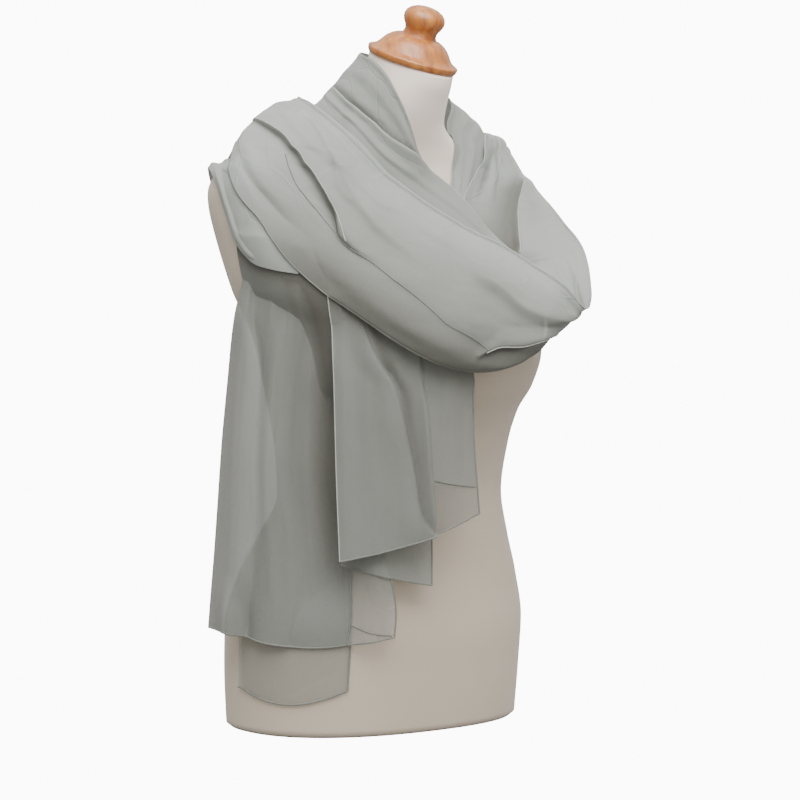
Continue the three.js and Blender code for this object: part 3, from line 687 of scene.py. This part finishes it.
tailLongLook = dict(
    cells=(260, 170), gap=1.6, apart=1.5, over=["tailUnder"],
    rows=tableRows("left right sag belly", [
        ([-122, 536, 116], [-48, 500, 158], 0, 4),
        ([-136, 500, 122], [-32, 462, 172], 0, 5),
        ([-147, 460, 126], [-22, 412, 178], 0, 6),
        ([-153, 427, 126], [-18, 372, 176], 0, 8),
        ([-158, 372, 124], [-16, 328, 172], 0, 10),
        ([-165, 300, 122], [-12, 252, 168], 0, 12),
        ([-171, 216, 120], [14, 178, 166], 2, 12),
        ([-176, 150, 120], [26, 126, 164], 8, 12),
        ([-180, 100, 120], [25, 88, 162], 14, 12),
    ]),
    folds=tableRows(foldKeys, [
        ([(0, 0.06), (0.27, 0.08), (0.5, 0.17), (0.65, 0.18), (0.8, 0.15), (1, 0.12)],
         2.6, 0.06, 0.05),
        ([(0, 0.1), (0.27, 0.125), (0.5, 0.245), (0.65, 0.25), (0.8, 0.222), (1, 0.19)],
         -2.4, 0.012, 0.05),
        ([(0, 0.24), (0.3, 0.32), (0.6, 0.36), (1, 0.32)], 3.5, 0.08, 0.1),
        ([(0, 0.56), (0.27, 0.55), (0.5, 0.504), (0.65, 0.48), (0.8, 0.466), (1, 0.42)],
         3.2, 0.12, 0.035),
        ([(0, 0.74), (0.4, 0.77), (0.7, 0.72), (1, 0.62)], -8, 0.13, 0.12),
        ([(0.1, 0.7), (0.3, 0.75), (0.5, 0.79)], 2.4, 0.014, 0.02, 0.05),
        ([(0, 0.92), (0.5, 0.96), (1, 0.88)], 4, 0.07, 0.05),
        ([(0.9, 0.09), (1, 0.11)], 6, 0.045, 0.045, 0.06),
        ([(0.9, 0.18), (1, 0.2)], -5, 0.045, 0.045, 0.06),
    ]),
    ripples=dict(along=1.6, across=6, height=2.2, seed=3),
)
tailLong = layStretch("tailLong", tailLongLook, tailShape)

tailTuckLook = dict(
    cells=(70, 70), gap=1.6, apart=1.6, over=["tailUnder", "tailLong"],
    rows=tableRows("left right sag belly", [
        ([-30, 250, 160], [60, 262, 150], 0, 8),
        ([-32, 200, 160], [66, 205, 150], 0, 8),
        ([-34, 168, 160], [66, 146, 148], 2, 8),
    ]),
    folds=tableRows(foldKeys, [([(0, 0.5), (1, 0.46)], 2.5, 0.14, 0.08)]),
    ripples=dict(along=1.5, across=3, height=1.2, seed=4),
)
tailTuck = layStretch("tailTuck", tailTuckLook, tailShape)

tailShortLook = dict(
    cells=(180, 150), gap=1.6, apart=1.8, over=["collar", "tailUnder", "tailLong", "tailTuck"],
    rows=tableRows("left right sag belly", [
        ([-58, 500, 168], [96, 420, 172], 0, 16),
        ([-45, 460, 178], [111, 381, 166], 0, 16),
        ([-43, 405, 186], [111, 350, 158], 0, 16),
        ([-41, 350, 186], [112, 315, 152], 0, 18),
        ([-39, 270, 184], [115, 268, 146], 0, 18),
        ([-35, 172, 182], [119, 225, 142], 6, 18),
    ]),
    folds=tableRows(foldKeys, [
        ([(0, 0.06), (0.3, 0.08), (1, 0.05)], 2.5, 0.05, 0.06),
        ([(0, 0.1), (0.2, 0.18), (0.34, 0.27), (0.5, 0.42), (0.65, 0.47), (0.81, 0.525),
         (0.9, 0.546), (1, 0.64)], 7, 0.14, 0.024, 0.06, 0.012),
        ([(0, 0.17), (0.2, 0.25), (0.34, 0.34), (0.5, 0.48), (0.65, 0.53), (0.81, 0.58),
         (0.9, 0.6), (1, 0.68)], -4, 0.03, 0.06),
        ([(0.2, 0.6), (0.4, 0.63), (0.6, 0.66), (1, 0.67)], 3, 0.05, 0.016),
        ([(0, 0.84), (1, 0.86)], 1.6, 0.07, 0.07),
    ]),
    ripples=dict(along=1.5, across=5, height=1.8, seed=5),
)
tailShort = layStretch("tailShort", tailShortLook, tailShape)
print("tails laid")

# shoulder, tip and farFrom are rows: the middle of the near shoulder, the cowl's far fold,
# and the start of the cloth behind it
ringLook = dict(
    perRow=18, inner=44, outer=104, gap=1.6, apart=2.0, bellyPower=0.7, innerBelly=1.5, seam=0.5,
    shoulder=30.8, drawn=0.1, drawnWide=0.4, tip=13.2, farFrom=13.5, farFull=14, calmWide=1.2,
    calmShoulder=0.8, calmTip=0.6)
perRow, topFold = ringLook["perRow"], ringLook["inner"]
ringRows = tableRows("inn top low belly seen", [
    ([-74, 668, 60], [-77, 681, 62], [-154, 624, 108], 14),
    ([-60, 656, 82], [-57, 669, 86], [-155, 606, 127], 16),
    ([-40, 632, 98], [-33, 649, 104], [-145, 578, 138], 18),
    ([-18, 604, 98], [-9, 628, 112], [-120, 546, 146], 18),
    ([5, 576, 98], [14, 601, 113], [-87, 503, 160], 20),
    ([26, 560, 98], [35, 584, 112], [-56, 471, 182], 22),
    ([50, 541, 96], [59, 565, 110], [-30, 452, 196], 26),
    ([77, 525, 94], [86, 548, 109], [12, 424, 204], 28),
    ([106, 509, 94], [114, 532, 110], [55, 398, 202], 28),
    ([138, 495, 96], [145, 517, 113], [88, 386, 192], 26),
    ([170, 475, 100], [177, 497, 118], [113, 382, 178], 24),
    ([198, 456, 103], [207, 477, 121], [144, 385, 162], 20),
    ([212, 445, 98], [225, 461, 116], [168, 396, 146], 12),
    ([214, 440, 92], [235, 451, 108], [184, 411, 126], 6),
    ([206, 446, 82], [240, 456, 94], [193, 424, 86], 5),
    ([180, 464, 70], [240, 474, 77], [191, 441, 30], 7),
    ([156, 484, 62], [236, 499, 53], [187, 462, -16], 10),
    ([140, 504, 58], [227, 521, 26], [182, 482, -48], 12),
    ([124, 526, 54], [209, 543, -10], [175, 506, -76], 12),
    ([110, 548, 50], [192, 564, -38], [169, 527, -94], 10),
    ([101, 569, 40], [175, 582, -58], [163, 545, -108], 8),
    ([105, 588, 12], [162, 602, -72], [160, 563, -114], 7),
    ([112, 610, -24], [149, 623, -80], [157, 580, -116], 6),
    ([123, 641, -68], [136, 639, -86], [148, 596, -126], 5),
    ([116, 22, 644], [124, 32, 652], [172, 52, 592], 6, False),
    ([82, 42, 638], [86, 54, 650], [122, 88, 552], 8, False),
    ([42, 46, 640], [42, 60, 652], [58, 104, 518], 8, False),
    ([0, 48, 642], [0, 62, 654], [0, 108, 504], 8, False),
    ([-42, 46, 648], [-42, 60, 660], [-62, 106, 516], 8, False),
    ([-76, 38, 654], [-78, 50, 666], [-122, 92, 550], 6, False),
    ([-90, 18, 660], [-94, 26, 672], [-158, 58, 588], 2, False),
])
ringCount = len(ringRows)

# folds of the ring by row: place from the top fold (0) to the lower edge (1), inner edge -1
ringFolds = tableRows(foldKeys, [
    ([(0, 0.02), (13, 0.02), (23, 0.02), (31, 0.02)], 2.2, 0.02, 0.03),
    ([(0, 0.1), (4, 0.12), (9, 0.13), (13, 0.18), (18, 0.24), (23, 0.16), (27, 0.1),
     (31, 0.1)], -2.5, 0.05, 0.08),
    ([(0, 0.3), (1.5, 0.19), (2.3, 0.26), (3, 0.338), (3.6, 0.43), (4.6, 0.455),
     (5.4, 0.5), (6.5, 0.53)], 3.4, 0.12, 0.03, 1.2),
    ([(0, 0.36), (2, 0.36), (4, 0.3), (4.9, 0.32), (5.7, 0.29), (7.8, 0.345), (8.3, 0.36),
     (10, 0.38)], 2.6, 0.08, 0.04, 1.2),
    ([(8, 0.4), (8.6, 0.43), (9.4, 0.448), (10.2, 0.478), (10.9, 0.47), (12, 0.4),
     (13, 0.34), (16, 0.36), (20, 0.4)], 4.5, 0.1, 0.045, 0.8),
    ([(0, 0.68), (1, 0.52), (2, 0.46), (3, 0.49), (4, 0.55), (4.6, 0.64), (5.5, 0.66)],
     5.5, 0.14, 0.022, 0.7, 0.03),
    ([(0, 0.74), (1, 0.58), (2, 0.52), (3, 0.56), (4, 0.61), (5, 0.67)], -3.2, 0.022, 0.07, 0.7),
    ([(4.4, 0.7), (5, 0.71), (6, 0.72), (7, 0.75), (8, 0.78), (9, 0.81), (10, 0.86), (10.8, 0.88)],
     -1.0, 0.03, 0.05, 0.8),
    ([(0, 0.86), (2, 0.8), (4, 0.84), (7, 0.88), (10, 0.92), (12, 0.9), (15, 0.86)],
     4, 0.08, 0.06, 0.8),
    ([(13, 0.62), (16, 0.66), (20, 0.72), (23, 0.7), (27, 0.6), (31, 0.58)], 5, 0.1, 0.04, 1.2),
    ([(16, 0.86), (23, 0.88), (27, 0.82), (31, 0.84)], 4, 0.08, 0.05, 1.2),
    ([(22, 0.36), (25, 0.32), (28, 0.36), (31, 0.34)], 5, 0.1, 0.05, 1.2),
    ([(16.6, -0.86), (17.2, -0.727), (17.8, -0.636), (18.9, -0.455), (20, -0.18), (20.5, -0.05)],
     6, 0.05, 0.3, 0.4),
    ([(14, -0.22), (16, -0.2), (18, -0.16)], 2.2, 0.05, 0.1, 0.8),
    ([(19.6, -0.66), (21, -0.5), (22.4, -0.4)], 2.4, 0.1, 0.05, 0.6),
    ([(9.5, 0.87), (10, 0.775), (10.7, 0.74), (11.3, 0.665), (12.3, 0.6)], 4.5, 0.1, 0.016, 0.3),
])
ringRipples = dict(along=0.42, across=5, height=1.5, seed=6)


def ringShape(place, v):
    inn, top, low, belly = (
        rowCurve(points, closed=True)(place)
        for points in [rowPoints(ringRows, key) for key in ("inn", "top", "low")]
        + [[[r["belly"]] for r in ringRows]])
    outer = lerp(top, low, np.clip(v, 0, 1)[..., None])
    _, out = formOut(outer)
    bow = np.sin(math.pi * np.clip(v, 0, 1)) ** ringLook["bellyPower"]
    outer = outer + out * belly * bow[..., None]
    inner = lerp(top, inn, np.clip(-v, 0, 1)[..., None])
    _, out = formOut(inner)
    bow = np.sin(math.pi * np.clip(-v, 0, 1)) ** 2
    inner = inner + out * ringLook["innerBelly"] * bow[..., None]
    return np.where((v >= 0)[..., None], outer, inner)


places = np.arange(ringCount * perRow + 1) / perRow
vs = np.concatenate([np.linspace(-1, 0, topFold + 1)[:-1],
                     np.linspace(0, 1, ringLook["outer"] + 1)])
placeGrid, vGrid = np.meshgrid(places, vs, indexing="ij")
height, slide = foldField(ringFolds, placeGrid, vGrid)
# the cloth is drawn in and lies calmer over the shoulder, and is calmer at the far fold
fromShoulder = (placeGrid - ringLook["shoulder"] + ringCount / 2) % ringCount - ringCount / 2
drawnIn = 1 - ringLook["drawn"] * np.exp(-((fromShoulder / ringLook["drawnWide"]) ** 2))
base = ringShape(placeGrid, np.clip((vGrid + slide) * np.where(vGrid > 0, drawnIn, 1), -1, 1))
fromSeam = smoothStep(0, ringLook["seam"], np.minimum(placeGrid, ringCount - placeGrid))
height = height + ripples(placeGrid, vGrid, ringRipples) * fromSeam
height *= (1 - ringLook["calmShoulder"] * np.exp(-((fromShoulder / ringLook["calmWide"]) ** 2))
           - ringLook["calmTip"] * np.exp(-((placeGrid - ringLook["tip"]) ** 2)))
base[-1] = base[0]
ring = base + gridWays(base) * height[..., None]
ring = settle(ring, ringLook["gap"])
ring[-1] = ring[0]
farBit = ring[int(ringLook["farFrom"] * perRow):]
remember("farBit", liftClear(farBit, ["collar"], ringLook["apart"]))

stripLook = dict(
    cells=(190, 34), gap=1.6, apart=1.6, over=["collar", "farBit"],
    rows=tableRows("top low belly seen", [
        ([-38, 692, 42], [-66, 668, 58], 3),
        ([-24, 677, 66], [-44, 648, 84], 3),
        ([-12, 666, 81], [-22, 628, 98], 3),
        ([20, 636, 87], [9, 592, 97], 3),
        ([56, 607, 66], [46, 561, 93], 4),
        ([86, 585, 56], [80, 537, 92], 4),
        ([111, 558, 56], [108, 519, 88], 4),
        ([129, 535, 60], [130, 502, 86], 3),
        ([152, 514, 66], [150, 490, 86], 3),
    ]),
    folds=tableRows(foldKeys, [
        ([(0, 0.04), (1, 0.06)], 1.6, 0.05, 0.1),
        ([(0, 0.4), (0.5, 0.46), (1, 0.44)], 2.2, 0.14, 0.06),
    ]),
    ripples=dict(along=5, across=2, height=1.0, seed=7),
)
strip = layStretch("strip", stripLook, ribbonShape)

bandLook = dict(
    cells=(170, 50), gap=1.6, apart=2.0, over=["tailLong", "tailShort"],
    rows=tableRows("top low belly seen", [
        ([-146, 54, 600], [-176, 53, 580], 1, False),
        ([-156, 26, 606], [-196, 28, 593], 2, False),
        ([-138, 614, 104], [-179, 604, 120], 2),
        ([-132, 592, 122], [-172, 589, 130], 5),
        ([-121, 564, 134], [-162, 556, 134], 5),
        ([-111, 552, 140], [-151, 524, 138], 6),
        ([-98, 538, 146], [-131, 503, 146], 7),
        ([-84, 524, 152], [-102, 494, 156], 6),
        ([-68, 508, 160], [-76, 487, 168], 4),
    ]),
    folds=tableRows(foldKeys, [
        ([(0, 0.45), (0.5, 0.5), (1, 0.5)], 3, 0.16, 0.1),
        ([(0, 0.85), (0.5, 0.84), (0.8, 0.86), (1, 0.85)], 3.5, 0.14, 0.1),
    ]),
    ripples=dict(along=4, across=2.5, height=1.3, seed=8),
)
band = layStretch("band", bandLook, ribbonShape)

# the front is lifted clear of all that lies under it, the rest only of the collar and the band
frontStrength = smoothStep(0, 0.8, placeGrid) * (1 - smoothStep(12.4, ringLook["tip"], placeGrid))
ring = liftClear(ring, ["collar", "strip", "band", "tailLong", "tailShort"],
                 ringLook["apart"], frontStrength)
ring = liftClear(ring, ["collar", "band"], ringLook["apart"],
                 smoothStep(ringLook["tip"], ringLook["farFull"], placeGrid))
ring = settle(ring, ringLook["gap"])
ring[-1] = ring[0]
print("ring laid")


def gridSize(p):
    return lengthOf(p[:, p.shape[1] // 2]), lengthOf(p[p.shape[0] // 2])


def shareGrid(p):
    n, m = p.shape[0] - 1, p.shape[1] - 1
    return np.meshgrid(np.linspace(0, 1, n + 1), np.linspace(0, 1, m + 1), indexing="ij")


def bandsOf(bands, s, t):
    # soft dark bands down a stretch: painted shade in valleys, under laps and beside edges, and darker
    # where more layers of the sheer cloth lie over each other
    out = np.zeros(s.shape)
    for band in bands:
        place = lineCurve(band["line"])(s)
        fade = band.get("fade", 0.08)
        strong = smoothStep(band["start"] - fade, band["start"] + fade, s) * (
            1 - smoothStep(band["end"] - fade, band["end"] + fade, s))
        dark = band["dark"] * bump(t - place, band["above"], band["below"]) * strong
        out = np.maximum(out, dark)
    return out


contact = dict(everyPoint=3, batch=40, farthest=1e9, touch=2.5, power=1.4)


def contactShade(p, lines, wide, dark):
    # painted shade on the cloth where it goes in under the edge of another stretch
    flat = p.reshape(-1, 3)
    edge = np.concatenate([np.asarray(line)[::contact["everyPoint"]] for line in lines])
    nearest = np.full(len(flat), contact["farthest"])
    for part in np.array_split(edge, max(len(edge) // contact["batch"], 1)):
        apart = np.linalg.norm(flat[:, None] - part[None], axis=2).min(axis=1)
        nearest = np.minimum(nearest, apart)
    share = (np.maximum(nearest - contact["touch"], 0) / wide) ** contact["power"]
    return (dark * np.exp(-share)).reshape(p.shape[:2])


def lineOn(p, ends, lift):
    # points on a stretch between two places (s, t), for a hem seen through the cloth
    n, m = p.shape[0] - 1, p.shape[1] - 1
    ways = gridWays(p)
    line = []
    for share in np.linspace(0, 1, hemMesh["points"]):
        s, t = (lerp(a, b, share) for a, b in zip(*ends))
        i, j = min(int(s * n), n - 1), min(int(t * m), m - 1)
        a, b = s * n - i, t * m - j
        spot = lerp(lerp(p[i, j], p[i + 1, j], a), lerp(p[i, j + 1], p[i + 1, j + 1], a), b)
        line.append(spot + ways[i, j] * lift)
    return line


def finishStretch(name, p, nodes, cover, layersAndShade, hems=(), creases=()):
    size = gridSize(p)
    shares = {key: np.broadcast_to(share, p.shape[:2])
              for key, share in (("cover", cover), ("layersAndShade", layersAndShade))}
    piece = sheetMesh(name, p, size, shares=shares)
    wearMaterial(piece, chiffon, nodes)
    made = [rollHem(name + "Hem" + str(k), line, hemLook) for k, line in enumerate(hems)]
    # the crease tubes are thin lines of painted highlight along a stretch's fold edges
    made += [rollHem(name + "Fold" + str(k), line, foldLook, foldHighlight)
             for k, line in enumerate(creases)]
    print(name, "flat", [round(v, 3) for v in size])


# how much of the light the turns stop, and how far a hem or fold drawn on a stretch stands off
turnCover = 0.99
hemLift = 0.4
manyCover, oneCover = 0.992, 0.45
ringTop, ringLow = ring[:, topFold], ring[:, -1]
# painted shade: the collar and the strip darken under the strip's edge and the swag's top fold, and the
# strip is a little darker overall
finishStretch("collarChiffon", collar, ["collar"],
              turnCover, 0.05 + contactShade(collar, [strip[:, 0], ringTop], wide=4, dark=0.6),
              creases=[collar[60:200, 0]])
finishStretch("innerSwagChiffon", strip, ["inner_swag"],
              turnCover, 0.2 + contactShade(strip, [ringTop], wide=6, dark=0.8), creases=[strip[:, 0]])
s, t = shareGrid(band)
# painted shade, darker towards the band's lower edge
finishStretch("shoulderBandChiffon", band, ["shoulder_band"],
              turnCover, 0.1 * smoothStep(0.5, 1, t))
finishStretch("tailLongUnderChiffon", tailUnder, ["tail_long_under"],
              cover=0.42, layersAndShade=0.05, hems=[tailUnder[-1], tailUnder[:, -1]])

# more layers at the left, a dark valley of painted shade beside the short end, one layer at the lower
# right
tailLongBands = [
    dict(line=[(0, 0.05), (1, 0.06)], start=0.3, end=1.2, dark=0.6, above=0.1, below=0.06),
    dict(line=[(0, 0.56), (1, 0.5)], start=-0.2, end=0.75, dark=0.3, above=0.06, below=0.2),
    dict(line=[(0, 0.78), (0.5, 0.8), (0.8, 0.7)],
         start=-0.2, end=0.78, dark=0.95, above=0.14, below=0.3, fade=0.14),
]
s, t = shareGrid(tailLong)
oneLayer = smoothStep(0.735, 0.755, t) * smoothStep(0.75, 0.82, s)
# painted shade under the swag's lower edge, the band and the short end's edge
behind = contactShade(tailLong, [ringLow[:180], band[:, -1], tailShort[:, 0]], wide=9, dark=0.5)
finishStretch("tailLongChiffon", tailLong, ["tail_long"],
              lerp(manyCover, oneCover, oneLayer),
              np.clip(0.58 + 0.42 * bandsOf(tailLongBands, s, t) + behind, 0, 1) * (1 - oneLayer),
              [tailLong[-1], tailLong[:, -1],
               lineOn(tailLong, [(0.8, 0.77), (0.99, 0.745)], hemLift),
               lineOn(tailLong, [(0.93, 0.76), (0.985, 0.985)], hemLift)])
s, t = shareGrid(tailTuck)
finishStretch("tailShortUnderChiffon", tailTuck, ["tail_short_under"],
              cover=0.8, layersAndShade=0.25 + 0.3 * (1 - smoothStep(0, 0.5, t)),
              hems=[tailTuck[-1], tailTuck[:, -1]])

# a dark line of painted shade beside the slanted fold and a fainter one before the layer edge, two
# layers beyond it, with one at their low corner
tailShortBands = [
    dict(line=[(0, 0.2), (0.2, 0.27), (0.34, 0.36), (0.5, 0.5), (0.65, 0.53), (0.81, 0.57),
               (0.9, 0.58), (1, 0.64)], start=-0.2, end=1.2, dark=0.5, above=0.035, below=0.07),
    dict(line=[(0, 0.6), (1, 0.66)], start=0.5, end=1.2, dark=0.3, above=0.07, below=0.01),
]
s, t = shareGrid(tailShort)
layerEdge = lineCurve([(0, 0.58), (0.3, 0.62), (0.55, 0.66), (1, 0.67)])(s)
twoLayers = smoothStep(0.0, 0.02, t - layerEdge) * smoothStep(0.3, 0.5, s)
oneLayer = smoothStep(0.845, 0.86, s + 0.05 * (1 - t)) * twoLayers
# painted shade under the swag's lower edge
behind = contactShade(tailShort, [ringLow[:220]], wide=9, dark=0.5)
finishStretch("tailShortChiffon", tailShort, ["tail_short"],
              0.985 - 0.2 * twoLayers - 0.3 * oneLayer,
              np.clip(0.54 + 0.46 * bandsOf(tailShortBands, s, t) + behind, 0, 1)
              * (1 - 0.3 * twoLayers),
              [tailShort[-1], tailShort[:, -1],
               lineOn(tailShort, [(0.82, 0.69), (0.855, 0.985)], hemLift)], [tailShort[:, 0]])

# painted shade: the swag darkens towards its lower edge, which faces down, and beside its laps and folds
ringShadeBands = [
    dict(line=[(0, 0.7), (1, 0.545), (2, 0.49), (3, 0.52), (4, 0.58), (4.6, 0.665)],
         start=0.2, end=4.6, dark=0.55, above=0.012, below=0.05, fade=0.5),
    dict(line=[(1.5, 0.2), (3, 0.345), (4.6, 0.462), (6.5, 0.54)],
         start=1.8, end=6.2, dark=0.16, above=0.012, below=0.05, fade=0.8),
    dict(line=[(8, 0.41), (9.4, 0.458), (10.2, 0.488), (12, 0.41), (13, 0.35)],
         start=8.4, end=12.6, dark=0.25, above=0.012, below=0.07, fade=0.6),
    dict(line=[(9.5, 0.885), (10, 0.79), (10.7, 0.755), (11.3, 0.68), (12.3, 0.615)],
         start=9.7, end=11.6, dark=0.4, above=0.012, below=0.04, fade=0.3),
    dict(line=[(16.6, -0.87), (17.2, -0.737), (17.8, -0.646), (18.9, -0.465), (20, -0.19),
               (20.5, -0.06)], start=17, end=20.6, dark=0.85, above=0.34, below=0.02, fade=0.5),
]
frontShare = smoothStep(1.5, 5, placeGrid) * (1 - smoothStep(13, 16, placeGrid))
ringPaintedShade = frontShare * (0.44 * smoothStep(0.12, 0.6, vGrid) + 0.44 * smoothStep(0.6, 0.92, vGrid))
ringPaintedShade = ringPaintedShade + bandsOf(ringShadeBands, placeGrid, vGrid)
# painted shade on the far part behind the strip and the top fold, and beside the inner edge
behind = contactShade(ring, [strip[:, 0], ringTop[6 * perRow:13 * perRow]], wide=13, dark=0.6)
ringPaintedShade = ringPaintedShade + behind * smoothStep(13.4, 14, placeGrid)
behind = contactShade(ring, [ring[14 * perRow:23 * perRow, 0]], wide=6, dark=0.6)
ringPaintedShade = ringPaintedShade + behind * smoothStep(23, 23.4, placeGrid)

ringShares = dict(cover=np.full(placeGrid.shape, turnCover), layersAndShade=np.clip(ringPaintedShade, 0, 1))
ringPiece = sheetMesh("ringChiffon", ring, gridSize(ring), closed=True, shares=ringShares)
wearMaterial(ringPiece, chiffon, ["front_swag", "far_swag", "back_swag"])
hemPath = curveThrough([2, 3, 4, 5, 6, 7, 8, 9, 10, 10.7],
                       [0.576, 0.66, 0.67, 0.676, 0.696, 0.725, 0.753, 0.78, 0.837, 0.87])
ringWays = gridWays(ring)


def ringLine(path, start, end):
    # points on the ring along a path of rows and places
    line = []
    for k in range(int(start * perRow), int(end * perRow)):
        v = float(path(k / perRow))
        j = topFold + v * (ringLook["outer"] if v > 0 else ringLook["inner"])
        a = min(int(j), ring.shape[1] - 2)
        line.append(lerp(ring[k, a], ring[k, a + 1], j - a) + ringWays[k, a] * hemLift)
    return line


# thin tubes of painted highlight along the top fold, the inner edge and the laps
topLine = ringLine(curveThrough([0, 1, 8, 10, 12, 13], [0.03, 0.045, 0.055, 0.05, 0.05, 0.03]), 0, 12.9)
ringHighlightLines = [
    topLine,
    ring[14 * perRow:23 * perRow, 0],
    ringLine(curveThrough([0, 1, 2, 3, 4, 4.9], [0.68, 0.52, 0.465, 0.495, 0.555, 0.66]), 0.2, 4.9),
    ringLine(curveThrough([9.5, 10, 10.7, 11.3, 12.3], [0.875, 0.78, 0.745, 0.67, 0.605]), 9.7, 11.7),
    ringLine(curveThrough([16.6, 17.2, 17.8, 18.9, 20, 20.5],
                          [-0.86, -0.72, -0.63, -0.45, -0.175, -0.045]), 17, 20.4),
]
swagHem = rollHem("swagHem", ringLine(hemPath, 2, 9.9), dict(hemLook, wide=0.6, thick=0.5))
# a dark tube along the lower fold edge: the cloth doubled there, and painted shade under it
lowerFold = rollHem("swagLowerFold", ringLow[:12 * perRow], foldLook)
# a dark tube of painted shade just behind the top fold, where the cloth turns in
turnInShade = rollHem("swagTurnInShade", np.array(topLine) + np.array([0.7, 0.9, 1.1]), foldLook)
swagFolds = [rollHem("swagFoldHighlight" + str(k), line, foldLook, foldHighlight)
             for k, line in enumerate(ringHighlightLines)]
print("ring finished")


# floor, light and camera

studio = dict(backdrop=11.0, floorSize=6, skyFrom=-0.1, skyLow=0.4, skyHigh=1.5)
backdrop = bmesh.new()
bmesh.ops.create_grid(backdrop, x_segments=1, y_segments=1, size=studio["floorSize"])
floor = meshObject("floor", backdrop)
paper, tree, surface, output = newMaterial("paperPale")
# a dark matt floor for the light, a bright backdrop for the camera
setInputs(surface, {"Base Color": tone("#8f8e8b"), "Roughness": 0.9})
plain = addNode(tree, "ShaderNodeEmission", Strength=studio["backdrop"])
pick = addNode(tree, "ShaderNodeMixShader")
tree.links.new(addNode(tree, "ShaderNodeLightPath").outputs["Is Camera Ray"], pick.inputs[0])
tree.links.new(surface.outputs[0], pick.inputs[1])
tree.links.new(plain.outputs[0], pick.inputs[2])
tree.links.new(pick.outputs[0], output.inputs["Surface"])
floor.data.materials.append(paper)

world = bpy.data.worlds.new("studio")
bpy.context.scene.world = world
world.use_nodes = True
skyTree = world.node_tree
sky = skyTree.nodes["Background"]
heightOfSky = addNode(skyTree, "ShaderNodeSeparateXYZ",
                      {"Vector": addNode(skyTree, "ShaderNodeTexCoord").outputs["Generated"]})
skyRamp = addNode(skyTree, "ShaderNodeMapRange", {"Value": heightOfSky.outputs["Z"]})
setInputs(skyRamp, {"From Min": studio["skyFrom"], "From Max": 1.0,
                    "To Min": studio["skyLow"], "To Max": studio["skyHigh"]})
skyPick = addNode(skyTree, "ShaderNodeMix", data_type="FLOAT")
isCamera = addNode(skyTree, "ShaderNodeLightPath").outputs["Is Camera Ray"]
skyTree.links.new(isCamera, skyPick.inputs[0])
skyTree.links.new(skyRamp.outputs["Result"], skyPick.inputs[2])
skyPick.inputs[3].default_value = studio["backdrop"]
skyTree.links.new(skyPick.outputs[0], sky.inputs["Strength"])
sky.inputs["Color"].default_value = (1, 1, 1, 1)


def aimFrom(thing, spot, target):
    thing.location = spot
    thing.rotation_mode = "QUATERNION"
    thing.rotation_quaternion = (Vector(target) - Vector(spot)).to_track_quat("-Z", "Y")


lamps = [
    dict(name="keyAbove", spot=(-0.7, -1.2, 2.2), target=(0, -0.05, 0.55), size=2.2, power=105),
    dict(name="fillFront", spot=(-0.9, -2.5, 1.1), target=(0, 0, 0.4), size=1.8, power=9),
]
for lamp in lamps:
    light = bpy.data.lights.new(lamp["name"], "AREA")
    light.shape = "DISK"
    light.size = lamp["size"]
    light.energy = lamp["power"]
    aimFrom(addObject(lamp["name"], light), lamp["spot"], lamp["target"])

photoView = dict(sensor=36, lens=106.4, aimHeight=350, clipEnd=30)
cameraData = bpy.data.cameras.new("photoView")
cameraData.sensor_width = photoView["sensor"]
cameraData.lens = photoView["lens"]
cameraData.clip_end = photoView["clipEnd"]
camera = addObject("photoView", cameraData)
away = np.array([-turnSin, -turnCos, 0]) * standDistance
aimFrom(camera, seen([standAcross, standHeight, 0]) / 1000 + away / 1000,
        seen([standAcross, photoView["aimHeight"], 0]) / 1000)
bpy.context.scene.camera = camera
print("stage set")
